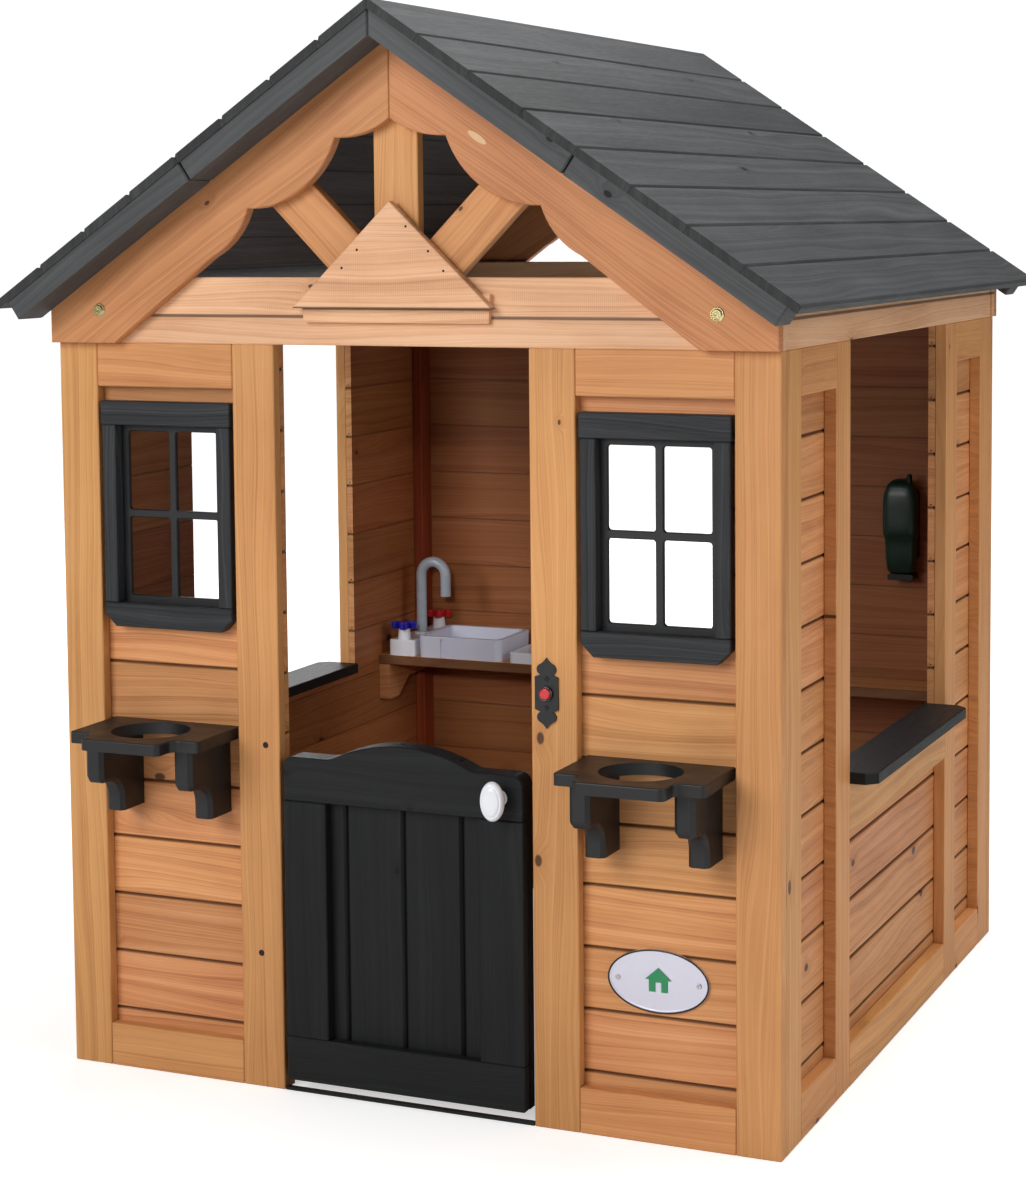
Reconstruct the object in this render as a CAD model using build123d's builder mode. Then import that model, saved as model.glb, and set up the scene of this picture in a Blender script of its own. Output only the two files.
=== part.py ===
from build123d import *
from math import cos, radians, tan
import os

os.makedirs("parts", exist_ok=True)

# Stained cedar playhouse with a black boarded roof, a half door, two front windows, an opening
# with a counter in each side, and a toy kitchen along the back wall.
# Millimetres. +Z is up, the door faces -Y, and X runs from left to right as seen from outside.
# The origin is on the floor, under the middle of the whole object.

# ---- driving dimensions: the house ----
house_width = 990
house_depth = 1058
wall_height = 964
roof_pitch = 34
heel_height = 74          # roof underside above the wall top, at the wall's outer face
roof_overhang = 73        # front and back
eave_overhang = 48        # each side
doorway_width = 352
side_panel_width = 284    # from a house corner to the opening in a side wall
half_wall_height = 397

# ---- driving dimensions: boards ----
frame_thick = 17
stile_width = 60
corner_stile_width = 57
rail_height = 57
cap_rail_height = 65
siding_thick = 10
siding_course = 78
first_joint = 74          # height of the lowest joint line
groove_depth = 3
tongue_length = 4
tongue_thick = 2.2
tongue_play = 0.4         # each side of a tongue in its groove
board_gap = 0.5
butt_gap = 0.4
edge_ease = 1.2
post_thick = 16
post_depth = 36

# ---- driving dimensions: roof and gables ----
roof_board_thick = 11
roof_boards_per_slope = 8
roof_groove = 3
batten_height = 26
batten_inset = 2          # behind the front ends of the roof boards
batten_setback = 14       # short of the eave
rafter_thick = 16
rafter_foot = 96          # level length at a rafter's lower end
rafter_reach = 2          # past the wall's outer face
tie_height = 85
header_height = 58
spoke_width = 60
spoke_hub = 43            # height above the wall top where the spokes' centre lines meet
# lobes cut in a rafter's lower edge, from the seam outwards: distance out, depth under the roof
rafter_lobes = [[(0, 128), (34, 122), (75.5, 99.6)],
                [(75.5, 99.6), (109, 128.5), (200, 101.6)],
                [(200, 101.6), (221, 124.4), (251.5, 126.9)]]
plate_base = 274
plate_rise = 132
plate_bottom = 47         # above the wall top
plate_thick = 12
plate_backing_thick = 8
plate_backing_base = 254
plate_backing_drop = 18
washer_radius = 8.8
bolt_head_radius = 6.2
bolt_socket_radius = 3.2
bolt_layer = 1.6          # thickness of the washer, and of the head on it

# ---- driving dimensions: front windows ----
recess_clear = 6          # each side of a window or a pot shelf, to the frame boards beside it
window_head_clear = 19    # from the head trim up to the frame's top rail
window_height = 296
trim_thick = 19
trim_rail = 31
trim_stile = 19.5
trim_overlap = 1.5        # head board past the side trims
sill_clip = 16
grid_lap = 8
grid_border = 9
grid_bar = 10
grid_thick = 6
grid_corner = 4
grid_ease = 1

# ---- driving dimensions: door ----
door_gap = 9.5
door_bottom = 18
door_shoulder = 440
door_arch_rise = 24
door_arch_start = 60.5    # from the leaf's side to the foot of the arch
door_ogee = 32
door_corner = 15
door_frame_thick = 16
door_board_thick = 15
door_inset = 5            # the door's back from the wall's inner face
door_stile = 60
door_rail = 57
door_board_width = 81
door_groove = 3
door_groove_shift = -4
knob_width = 32
knob_height = 50
knob_cap = 12
knob_reach = 31
knob_base = 22
knob_neck = 14
knob_flare = 6
hinge_height = 60
hinge_pin_radius = 2
hinge_play = 0.05
hinge_barrel_radius = 4.2
hinge_leaf_thick = 1.8
hinge_leaf_width = 24
hinge_barrel_gap = 0.6    # between barrels, and between a barrel and the other leaf
hinge_low = 90
hinge_high_drop = 95      # from the door's shoulder to the middle of the upper hinge
threshold_height = 4
threshold_depth = 10

# ---- driving dimensions: counters, shelf and kitchen ----
counter_thick = 15
counter_overhang = 34
counter_inside = 6
counter_clip = 14
shelf_depth = 173
bracket_setback = 2
bracket_thick = 18
bracket_height = 58
sink_size = (146, 122, 35)
sink_wall = 7
sink_floor = 5
sink_corner = 12
drain_radius = 8
overflow_size = (9, 3)    # width and depth of the groove down the sink's front
kitchen_setback = 5       # sink and hob from the shelf's front edge
kitchen_gap = 7           # between the deck and the sink, and twice that before the hob
deck_size = (46, 162, 26)
faucet_spacing = 66
faucet_setback = 4        # the taps' row from the deck's middle, towards the front
faucet_flange = 3
spout_radius = 8.5
spout_bend = 22
spout_rise = 94
spout_drop = 34
handle_reach = 21
handle_height = 12
stem_radius = 9
stem_height = 17
turn_play = 0.3
spindle_radius = 3
spindle_height = 8
hob_height = 17
hob_knob_radius = 15
ring_radius = 38
ring_width = 5

# ---- driving dimensions: phone ----
phone_width = 54
phone_height = 148
phone_depth = 27
cradle_depth = 15
phone_clear = 154         # the handset's lower end above the kitchen shelf
phone_shift = 29          # the phone's middle outwards from the line of the windows
antenna_radius = 4.5
antenna_height = 8

# ---- driving dimensions: front fittings ----
shelf_hole_radius = 51
pot_shelf_depth = 144
pot_shelf_shoulder = 109
pot_shelf_thick = 15
pot_shelf_top = 468
corbel_width = 26
corbel_height = 98
corbel_depth = 100
corbel_spread = 66
corbel_bevel = 5
bell_width = 30.5
bell_body_height = 42
bell_height = 87.5
bell_out = 21             # the bell's middle from the doorway's edge
bell_up = 544
bell_thick = 3
bell_button_radius = 7
bell_travel = 2
name_plate_size = (131, 79)
name_plate_thick = 3
name_plate_shift = -3     # its middle from the middle of the panel
name_plate_up = 197

# ---- derived: the house ----
half_width = house_width / 2
pitch_cos = cos(radians(roof_pitch))
pitch_tan = tan(radians(roof_pitch))
peak_height = wall_height + heel_height + half_width * pitch_tan     # roof underside at the ridge
ridge_height = peak_height + roof_board_thick / pitch_cos
eave_half = half_width + eave_overhang
slope_length = eave_half / pitch_cos
front_reach = max(roof_overhang, pot_shelf_depth - frame_thick)
front_face = (front_reach - house_depth - roof_overhang) / 2
back_face = front_face + house_depth
wall_thick = frame_thick + siding_thick
inner_half = half_width - wall_thick
door_half = doorway_width / 2
side_opening_start = side_panel_width
side_opening_end = house_depth - side_panel_width
front_panel = (door_half, half_width)
panel_inner = (front_panel[0] + stile_width, front_panel[1] - corner_stile_width)
window_spread = (panel_inner[0] + panel_inner[1]) / 2
recess_width = panel_inner[1] - panel_inner[0] - 2 * recess_clear

# Working planes on the outer faces of the walls: local x along the wall, y up, z outwards.
front_wall = Plane(origin=(0, front_face, 0), x_dir=(1, 0, 0), z_dir=(0, -1, 0))
back_wall = Plane(origin=(0, back_face, 0), x_dir=(-1, 0, 0), z_dir=(0, 1, 0))
right_wall = Plane(origin=(half_width, front_face, 0), x_dir=(0, 1, 0), z_dir=(1, 0, 0))

standing = (Align.CENTER, Align.CENTER, Align.MIN)      # a round piece that stands on its place


def middle(limits):
    return (limits[0] + limits[1]) / 2


def span(limits):
    return abs(limits[1] - limits[0])


def board(wall, along, up, out, ease=edge_ease):
    """A straight board between three pairs of limits on a wall's plane, with eased edges."""
    with BuildPart(wall) as piece:
        with Locations((middle(along), middle(up), middle(out))):
            Box(span(along), span(up), span(out))
        chamfer(piece.edges(), length=ease)
    return piece.part


def panel_frame(wall, along, left_stile, right_stile):
    """Two stiles and two rails, full height, on the outside of a wall panel."""
    inner = (along[0] + left_stile, along[1] - right_stile)
    rail = (inner[0] + butt_gap, inner[1] - butt_gap)
    out = (-frame_thick, 0)
    return [board(wall, (along[0], inner[0]), (0, wall_height), out),
            board(wall, (inner[1], along[1]), (0, wall_height), out),
            board(wall, rail, (0, rail_height), out),
            board(wall, rail, (wall_height - rail_height, wall_height), out)]


def siding(wall, along, height):
    """Tongue-and-groove boards behind a frame, stacked on the house's one set of joint lines."""
    half_gap = board_gap / 2
    top = siding_course
    centre = siding_thick * 0.55
    tongue = (centre - tongue_thick / 2, centre + tongue_thick / 2)
    groove = (tongue[0] - tongue_play, tongue[1] + tongue_play)
    groove_top = half_gap + tongue_length + 1
    profile = [(groove_depth, half_gap), (groove[0], half_gap), (groove[0], groove_top),
               (groove[1], groove_top), (groove[1], half_gap), (siding_thick, half_gap),
               (siding_thick, top - half_gap), (tongue[1], top - half_gap),
               (tongue[1], top + tongue_length), (tongue[0], top + tongue_length),
               (tongue[0], top - half_gap), (groove_depth, top - half_gap),
               (0, top - half_gap - groove_depth), (0, half_gap + groove_depth)]
    edge = Plane(origin=wall.from_local_coords((along[0], 0, -frame_thick)),
                 x_dir=-wall.z_dir, z_dir=wall.x_dir)
    joint = first_joint - siding_course
    with BuildPart() as boards:
        with BuildSketch(edge):
            while joint < height:
                Polygon(*[(depth, joint + rise) for depth, rise in profile], align=None)
                joint += siding_course
            Rectangle(siding_thick, height, align=(Align.MIN, Align.MIN), mode=Mode.INTERSECT)
        extrude(amount=span(along))
    return boards.part


# ---- front wall: two panels, each with a window ----
window_width = recess_width
window_top = wall_height - rail_height - window_head_clear
window_bottom = window_top - window_height
trim_inner_half = window_width / 2 - trim_stile
grid_half = trim_inner_half + grid_lap
glass_bottom = window_bottom + trim_rail
glass_top = window_top - trim_rail
grid_limits = (glass_bottom - grid_lap, glass_top + grid_lap)

right_frame_boards = panel_frame(front_wall, front_panel, stile_width, corner_stile_width)
with BuildPart() as front_right_frame:
    add(right_frame_boards)

right_siding_boards = siding(front_wall, (front_panel[0], half_width - frame_thick - butt_gap), wall_height)
with BuildPart() as front_right_siding:
    add(right_siding_boards)
    with BuildSketch(front_wall):
        with Locations((window_spread, middle(grid_limits))):
            Rectangle(2 * (grid_half + butt_gap), span(grid_limits) + 2 * butt_gap)
    extrude(amount=-wall_thick - 1, mode=Mode.SUBTRACT)

trim_out = (-frame_thick, trim_thick - frame_thick)
head_half = window_width / 2 + trim_overlap
trim_boards = [board(front_wall, (window_spread - head_half, window_spread + head_half),
                     (glass_top, window_top), trim_out)]
for side in (-1, 1):
    edges = sorted((window_spread + side * trim_inner_half, window_spread + side * window_width / 2))
    trim_boards.append(board(front_wall, edges, (glass_bottom + butt_gap, glass_top - butt_gap),
                             (trim_out[0], trim_out[1] - 1)))
with BuildPart() as sill:
    with BuildSketch(front_wall.offset(-frame_thick)):
        with Locations((window_spread, glass_bottom - trim_rail / 2)):
            Rectangle(window_width, trim_rail)
    extrude(amount=trim_thick)
    chamfer(sill.edges().filter_by(Axis.Y).group_by(Axis.Z)[0], length=sill_clip)
    chamfer(sill.faces().sort_by(Axis.Y)[0].edges(), length=edge_ease)
with BuildPart() as right_window_trim:
    add(trim_boards)
    add(sill.part)

pane_width = trim_inner_half - grid_border - grid_bar / 2
pane_height = (glass_top - glass_bottom) / 2 - grid_border - grid_bar / 2
grid_front = front_wall.offset(-frame_thick)
with BuildPart() as right_window_grid:
    with BuildSketch(grid_front):
        with Locations((window_spread, middle(grid_limits))):
            RectangleRounded(2 * grid_half, span(grid_limits), grid_corner)
            with GridLocations(pane_width + grid_bar, pane_height + grid_bar, 2, 2):
                RectangleRounded(pane_width, pane_height, grid_corner, mode=Mode.SUBTRACT)
    extrude(amount=-grid_thick)
    chamfer(right_window_grid.faces().sort_by(Axis.Y)[0].edges(), length=grid_ease)

with BuildPart() as front_left_frame:
    mirror(front_right_frame.part, about=Plane.YZ)
with BuildPart() as front_left_siding:
    mirror(front_right_siding.part, about=Plane.YZ)
with BuildPart() as left_window_trim:
    mirror(right_window_trim.part, about=Plane.YZ)
with BuildPart() as left_window_grid:
    mirror(right_window_grid.part, about=Plane.YZ)

threshold_board = board(front_wall, (-door_half + butt_gap, door_half - butt_gap),
                        (0, threshold_height), (-threshold_depth, 0))
with BuildPart() as door_threshold:
    add(threshold_board)

# ---- side walls: a panel at each end, with a half wall and a counter between them ----
side_start = frame_thick + butt_gap
side_end = house_depth - frame_thick - butt_gap
side_boards = panel_frame(right_wall, (side_start, side_opening_start), stile_width, stile_width)
side_boards += panel_frame(right_wall, (side_opening_end, side_end), stile_width, stile_width)
with BuildPart() as right_wall_frames:
    add(side_boards)

opening = (side_opening_start + butt_gap, side_opening_end - butt_gap)
half_rails = [board(right_wall, opening, (0, rail_height), (-frame_thick, 0)),
              board(right_wall, opening, (half_wall_height - cap_rail_height, half_wall_height),
                    (-frame_thick, 0))]
with BuildPart() as right_half_wall_rails:
    add(half_rails)

siding_start = wall_thick + butt_gap
side_siding = [siding(right_wall, (siding_start, side_opening_start), wall_height),
               siding(right_wall, opening, half_wall_height),
               siding(right_wall, (side_opening_end, house_depth - siding_start), wall_height)]
with BuildPart() as right_wall_siding:
    add(side_siding)

counter_out = (-wall_thick - counter_inside, counter_overhang)
with BuildPart(right_wall) as right_counter:
    with Locations((middle(opening), half_wall_height + counter_thick / 2, middle(counter_out))):
        Box(span(opening), counter_thick, span(counter_out))
    chamfer(right_counter.edges().filter_by(Axis.Z).group_by(Axis.X)[-1], length=counter_clip)
    chamfer(right_counter.faces().sort_by(Axis.Z)[-1].edges(), length=edge_ease)

with BuildPart() as left_wall_frames:
    mirror(right_wall_frames.part, about=Plane.YZ)
with BuildPart() as left_half_wall_rails:
    mirror(right_half_wall_rails.part, about=Plane.YZ)
with BuildPart() as left_wall_siding:
    mirror(right_wall_siding.part, about=Plane.YZ)
with BuildPart() as left_counter:
    mirror(right_counter.part, about=Plane.YZ)

header_start = max(frame_thick, rafter_thick) + butt_gap
header_board = board(right_wall, (header_start, house_depth - header_start),
                     (wall_height, wall_height + header_height), (-frame_thick, 0))
with BuildPart() as side_headers:
    add(header_board)
    mirror(header_board, about=Plane.YZ)

# ---- back wall: two plain panels and a half wall under the kitchen ----
back_boards = []
for along in ((-half_width, -door_half), (door_half, half_width)):
    outer_first = along[0] < 0
    widths = (corner_stile_width, stile_width) if outer_first else (stile_width, corner_stile_width)
    back_boards += panel_frame(back_wall, along, *widths)
with BuildPart() as back_wall_frames:
    add(back_boards)

back_opening = (-door_half + butt_gap, door_half - butt_gap)
back_rails = [board(back_wall, back_opening, (0, rail_height), (-frame_thick, 0)),
              board(back_wall, back_opening, (half_wall_height - cap_rail_height, half_wall_height),
                    (-frame_thick, 0))]
with BuildPart() as back_half_wall_rails:
    add(back_rails)

back_limit = half_width - frame_thick - butt_gap
back_siding = [siding(back_wall, (-back_limit, -door_half), wall_height),
               siding(back_wall, back_opening, half_wall_height),
               siding(back_wall, (door_half, back_limit), wall_height)]
with BuildPart() as back_wall_siding:
    add(back_siding)

# ---- posts that the wall panels are screwed to, one in each inner corner ----
post_centres = [(side * (inner_half - butt_gap - post_thick / 2), end)
                for side in (-1, 1)
                for end in (front_face + wall_thick + butt_gap + post_depth / 2,
                            back_face - wall_thick - butt_gap - post_depth / 2)]
with BuildPart() as corner_posts:
    with Locations([(x, y, wall_height / 2) for x, y in post_centres]):
        Box(post_thick, post_depth, wall_height)
    chamfer(corner_posts.edges().filter_by(Axis.Z), length=edge_ease)


# ---- gables: tie board, spokes, scalloped rafters and a triangular plate ----
def roof_underside(distance):
    return peak_height - distance * pitch_tan


rafter_half = half_width + rafter_reach
tie_top = wall_height + tie_height
tie_shoulder = (peak_height - tie_top) / pitch_tan
under_roof = [(-rafter_half, wall_height), (rafter_half, wall_height),
              (rafter_half, roof_underside(rafter_half)), (0, peak_height),
              (-rafter_half, roof_underside(rafter_half))]


def gable_tie(wall):
    with BuildPart() as tie:
        with BuildSketch(wall):
            Polygon(*under_roof, align=None)
            with Locations((0, wall_height)):
                Rectangle(2 * rafter_half, tie_height, align=(Align.CENTER, Align.MIN),
                          mode=Mode.INTERSECT)
        extrude(amount=-rafter_thick)
        chamfer(tie.edges().filter_by(Axis.X), length=edge_ease)
    return tie.part


def gable_rafters(wall):
    """Two boards that meet in a seam under the ridge, with lobes along their lower edges."""
    lobes = [[(out, roof_underside(out) - depth) for out, depth in lobe] for lobe in rafter_lobes]
    seam = butt_gap / 2
    with BuildPart() as rafters:
        with BuildSketch(wall):
            with BuildLine():
                for lobe in lobes:
                    ThreePointArc(*lobe)
                Polyline(lobes[-1][-1], (rafter_half - rafter_foot, wall_height),
                         (rafter_half, wall_height), (rafter_half, roof_underside(rafter_half)),
                         (0, peak_height), lobes[0][0])
            make_face()
            with Locations((seam, 0)):
                Rectangle(rafter_half, ridge_height, align=(Align.MIN, Align.MIN), mode=Mode.INTERSECT)
            mirror(about=Plane.YZ)
        extrude(amount=rafter_thick)
        outer = rafters.faces().filter_by(Axis.Y).group_by(Axis.Y)[0 if wall is front_wall else -1]
        chamfer(outer.edges(), length=edge_ease)
    return rafters.part


tie_piece = gable_tie(front_wall)
with BuildPart() as front_gable_tie:
    add(tie_piece)
tie_piece = gable_tie(back_wall)
with BuildPart() as back_gable_tie:
    add(tie_piece)
rafter_pair = gable_rafters(front_wall)
with BuildPart() as front_gable_rafters:
    add(rafter_pair)
rafter_pair = gable_rafters(back_wall)
with BuildPart() as back_gable_rafters:
    add(rafter_pair)

hub_height = wall_height + spoke_hub
spoke_clear = spoke_width / 2 + butt_gap
with BuildPart() as front_gable_spokes:
    with BuildSketch(front_wall):
        with Locations((0, hub_height)):
            Rectangle(spoke_width, peak_height, align=(Align.CENTER, Align.MIN))
        Polygon(*under_roof, align=None, mode=Mode.INTERSECT)
    with BuildSketch(front_wall):
        for side in (-1, 1):
            with BuildSketch(front_wall, mode=Mode.PRIVATE) as one_spoke:
                with Locations(Location((0, hub_height), -45 * side)):
                    Rectangle(spoke_width, peak_height, align=(Align.CENTER, Align.MIN))
                with Locations((side * spoke_clear, hub_height)):
                    Rectangle(peak_height, peak_height, mode=Mode.INTERSECT,
                              align=(Align.MIN if side > 0 else Align.MAX, Align.MIN))
            add(one_spoke.sketch_local)
        Polygon(*under_roof, align=None, mode=Mode.INTERSECT)
    extrude(amount=-rafter_thick)
    with BuildSketch(front_wall):
        Rectangle(2 * rafter_half, tie_top + butt_gap, align=(Align.CENTER, Align.MIN))
    extrude(amount=-rafter_thick, mode=Mode.SUBTRACT)
    chamfer(front_gable_spokes.faces().filter_by(Axis.Y).group_by(Axis.Y)[0].edges(), length=edge_ease)

plate_base_height = wall_height + plate_bottom
with BuildPart() as front_gable_plate:
    with BuildSketch(front_wall.offset(plate_backing_thick + plate_thick)):
        Polygon((-plate_base / 2, plate_base_height), (plate_base / 2, plate_base_height),
                (0, plate_base_height + plate_rise), align=None)
    extrude(amount=-plate_thick + butt_gap)
    chamfer(front_gable_plate.faces().sort_by(Axis.Y)[0].edges(), length=edge_ease)
    with BuildSketch(front_wall.offset(plate_backing_thick)):
        Polygon((-plate_backing_base / 2, plate_base_height - plate_backing_drop),
                (plate_backing_base / 2, plate_base_height - plate_backing_drop),
                (plate_base / 2 - plate_backing_thick, plate_base_height + plate_backing_drop),
                (-plate_base / 2 + plate_backing_thick, plate_base_height + plate_backing_drop),
                align=None)
    extrude(amount=-plate_backing_thick)

bolt_out = rafter_half - 0.78 * rafter_foot
bolt_up = wall_height + 0.75 * rail_height
with BuildPart() as gable_bolts:
    for wall in (front_wall, back_wall):
        with BuildSketch(wall.offset(rafter_thick)):
            with Locations((-bolt_out, bolt_up), (bolt_out, bolt_up)):
                Circle(washer_radius)
        extrude(amount=bolt_layer)
        with BuildSketch(wall.offset(rafter_thick + bolt_layer)):
            with Locations((-bolt_out, bolt_up), (bolt_out, bolt_up)):
                Circle(bolt_head_radius)
                RegularPolygon(bolt_socket_radius, 6, mode=Mode.SUBTRACT)
        extrude(amount=bolt_layer)
    chamfer(gable_bolts.edges().filter_by(GeomType.CIRCLE), length=0.6)

# ---- roof: boards that run front to back, on battens under the overhanging ends ----
board_pitch = slope_length / roof_boards_per_slope
roof_length = house_depth + 2 * roof_overhang
slope_plane = Plane(origin=(0, front_face - roof_overhang, ridge_height),
                    x_dir=(pitch_cos, 0, -pitch_cos * pitch_tan), z_dir=(0, -1, 0))
with BuildPart() as roof_right_boards:
    with BuildSketch(slope_plane):
        for number in range(roof_boards_per_slope):
            start = number * board_pitch + (board_gap / 2 if number else -roof_board_thick)
            end = (number + 1) * board_pitch - board_gap / 2
            Polygon((start, -roof_board_thick), (start, -roof_groove), (start + roof_groove, 0),
                    (end - roof_groove, 0), (end, -roof_groove), (end, -roof_board_thick), align=None)
    extrude(amount=-roof_length)
    split(bisect_by=Plane.YZ.offset(butt_gap / 2), keep=Keep.TOP)

batten_depth = roof_overhang - batten_inset - rafter_thick - butt_gap
batten_joint = slope_length / 2
with BuildPart() as roof_right_battens:
    for start_y in (front_face - roof_overhang + batten_inset,
                    back_face + rafter_thick + butt_gap):
        batten_end = slope_plane.offset(front_face - roof_overhang - start_y)
        with BuildSketch(batten_end):
            for limits in ((-batten_height, batten_joint - 1),
                           (batten_joint + 1, slope_length - batten_setback)):
                with Locations((middle(limits), -roof_board_thick - batten_height / 2)):
                    Rectangle(span(limits), batten_height)
        extrude(amount=-batten_depth)
    split(bisect_by=Plane.YZ.offset(butt_gap / 2), keep=Keep.TOP)
    chamfer(roof_right_battens.edges().filter_by(Plane.XZ), length=2)

with BuildPart() as roof_left_boards:
    mirror(roof_right_boards.part, about=Plane.YZ)
with BuildPart() as roof_left_battens:
    mirror(roof_right_battens.part, about=Plane.YZ)

# ---- door: arched frame boards over vertical boards ----
leaf_half = door_half - door_gap
door_proud = door_frame_thick + door_board_thick + door_inset - wall_thick
door_arch_half = leaf_half - door_arch_start
door_top = door_shoulder + door_arch_rise
radii_sum = (door_arch_half**2 + door_arch_rise**2) / (2 * door_arch_rise)
arch_radius = radii_sum - door_ogee
ogee_out = door_arch_half * arch_radius / radii_sum
ogee_up = door_top - arch_radius + arch_radius * (radii_sum - door_arch_rise) / radii_sum
door_face = front_wall.offset(door_proud)
door_back = front_wall.offset(door_proud - door_frame_thick)


def door_outline():
    """The leaf's outline: square below, rounded shoulders and an arch with ogee ends on top."""
    corner = door_corner * (1 - cos(radians(45)))
    with BuildSketch() as outline:
        with BuildLine():
            ThreePointArc((-ogee_out, ogee_up), (0, door_top), (ogee_out, ogee_up))
            for side in (-1, 1):
                shoulder = (side * door_arch_half, door_shoulder)
                joint = (side * ogee_out, ogee_up)
                TangentArc(shoulder, joint, tangent=(-side, 0))
                turn = (side * (leaf_half - door_corner), door_shoulder)
                Line(shoulder, turn)
                ThreePointArc(turn, (side * (leaf_half - corner), door_shoulder - corner),
                              (side * leaf_half, door_shoulder - door_corner))
                Line((side * leaf_half, door_shoulder - door_corner), (side * leaf_half, door_bottom))
            Line((-leaf_half, door_bottom), (leaf_half, door_bottom))
        make_face()
    return outline.sketch


leaf_shape = door_outline()
rail_line = door_shoulder - door_rail
sill_line = door_bottom + door_rail
out_limits = (door_proud - door_frame_thick, door_proud)
leaf_boards = [board(front_wall, (-leaf_half, leaf_half), (door_bottom, sill_line), out_limits)]
for side in (-1, 1):
    stile = sorted((side * leaf_half, side * (leaf_half - door_stile)))
    leaf_boards.append(board(front_wall, stile, (sill_line + butt_gap, rail_line - butt_gap), out_limits))
with BuildPart() as arched_rail:
    with BuildSketch(door_face):
        add(leaf_shape)
        with Locations((0, rail_line)):
            Rectangle(2 * leaf_half, door_top, align=(Align.CENTER, Align.MIN), mode=Mode.INTERSECT)
    extrude(amount=-door_frame_thick)
    chamfer(arched_rail.faces().sort_by(Axis.Y)[0].edges(), length=edge_ease)
with BuildPart() as door_frame:
    add(leaf_boards)
    add(arched_rail.part)

groove_line = [number * door_board_width + door_groove_shift for number in (-1, 0, 1)]
with BuildPart() as door_boards:
    with BuildSketch(door_back):
        add(leaf_shape)
    extrude(amount=-door_board_thick)
    with BuildSketch(Plane.XY):
        for line in groove_line:
            with Locations((line, door_back.origin.Y)):
                Rectangle(2 * door_groove, 2 * door_groove, rotation=45)
            with Locations((line, door_back.origin.Y + door_board_thick / 2)):
                Rectangle(board_gap, door_board_thick)
    extrude(amount=door_top, mode=Mode.SUBTRACT)

knob_out = leaf_half - door_stile / 2
knob_up = door_shoulder - door_rail / 2
with BuildPart() as door_knob:
    with BuildSketch(door_face):
        with Locations((knob_out, knob_up)):
            Circle(knob_base / 2)
    with BuildSketch(door_face.offset(knob_flare)):
        with Locations((knob_out, knob_up)):
            Circle(knob_neck / 2)
    loft()
    with BuildSketch(door_face.offset(knob_flare)):
        with Locations((knob_out, knob_up)):
            Circle(knob_neck / 2)
    extrude(amount=knob_reach - knob_cap - knob_flare + 1)
    with BuildSketch(door_face.offset(knob_reach - knob_cap)):
        with Locations((knob_out, knob_up)):
            Ellipse(knob_width / 2, knob_height / 2)
    extrude(amount=knob_cap)
    cap_edges = door_knob.edges().filter_by(lambda e: e.length > 2 * knob_height)
    fillet(cap_edges, radius=knob_cap * 0.4)

# ---- hinges on the inner face, between the door's left edge and the doorpost ----
hinge_high = door_shoulder - hinge_high_drop
hinge_axis_x = -door_half + door_gap / 2
hinge_axis_y = front_face + wall_thick
door_back_y = front_face - door_proud + door_frame_thick + door_board_thick
barrel_height = hinge_height / 3
bore_radius = hinge_pin_radius + hinge_play


def hinge_leaf(face_y, direction, heights):
    """A flat leaf on a face, joined to the barrels at the given heights."""
    reach = sorted((hinge_axis_x, hinge_axis_x + direction * hinge_leaf_width))
    with BuildPart() as leaf:
        for centre in (hinge_low, hinge_high):
            with Locations((middle(reach), face_y + hinge_leaf_thick / 2, centre)):
                Box(span(reach), hinge_leaf_thick, hinge_height)
            with Locations((hinge_axis_x, hinge_axis_y, centre)):
                Cylinder(hinge_barrel_radius + hinge_barrel_gap, hinge_height, mode=Mode.SUBTRACT)
        for low in heights:
            for centre in (hinge_low, hinge_high):
                height = centre + low * barrel_height
                with Locations((hinge_axis_x, hinge_axis_y, height)):
                    Cylinder(hinge_barrel_radius, barrel_height - hinge_barrel_gap)
                inner = sorted((hinge_axis_x, hinge_axis_x + direction * 7))
                with Locations((middle(inner), face_y + hinge_leaf_thick / 2, height)):
                    Box(span(inner), hinge_leaf_thick, barrel_height - hinge_barrel_gap)
                with Locations((hinge_axis_x, hinge_axis_y, height)):
                    Cylinder(bore_radius, barrel_height, mode=Mode.SUBTRACT)
    return leaf.part


door_leaf = hinge_leaf(door_back_y, 1, (0,))
with BuildPart() as door_hinge_leaves:
    add(door_leaf)
post_leaf = hinge_leaf(hinge_axis_y, -1, (-1, 1))
with BuildPart() as post_hinge_leaves:
    add(post_leaf)

with BuildPart() as hinge_pins:
    for centre in (hinge_low, hinge_high):
        with Locations((hinge_axis_x, hinge_axis_y, centre)):
            Cylinder(hinge_pin_radius, hinge_height)
        with Locations((hinge_axis_x, hinge_axis_y, centre + hinge_height / 2 + 1)):
            Cylinder(hinge_pin_radius + 1.2, 2)

# ---- kitchen: shelf on brackets, sink with faucet, hob ----
shelf_back = back_face - wall_thick
shelf_front = shelf_back - shelf_depth
shelf_top = half_wall_height + counter_thick
plank = shelf_depth / 2
shelf_half = inner_half - butt_gap
post_corners = [(x, y) for x, y in post_centres if y > 0]
with BuildPart() as kitchen_shelf:
    for number in (0, 1):
        with Locations((0, shelf_front + plank * (number + 0.5), half_wall_height + counter_thick / 2)):
            Box(2 * shelf_half, plank - board_gap, counter_thick)
    chamfer(kitchen_shelf.edges().filter_by(Axis.X), length=edge_ease)
    with Locations([(x, y, half_wall_height) for x, y in post_corners]):
        Box(post_thick + 2 * butt_gap, post_depth + 2 * butt_gap, 3 * counter_thick, mode=Mode.SUBTRACT)

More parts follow.
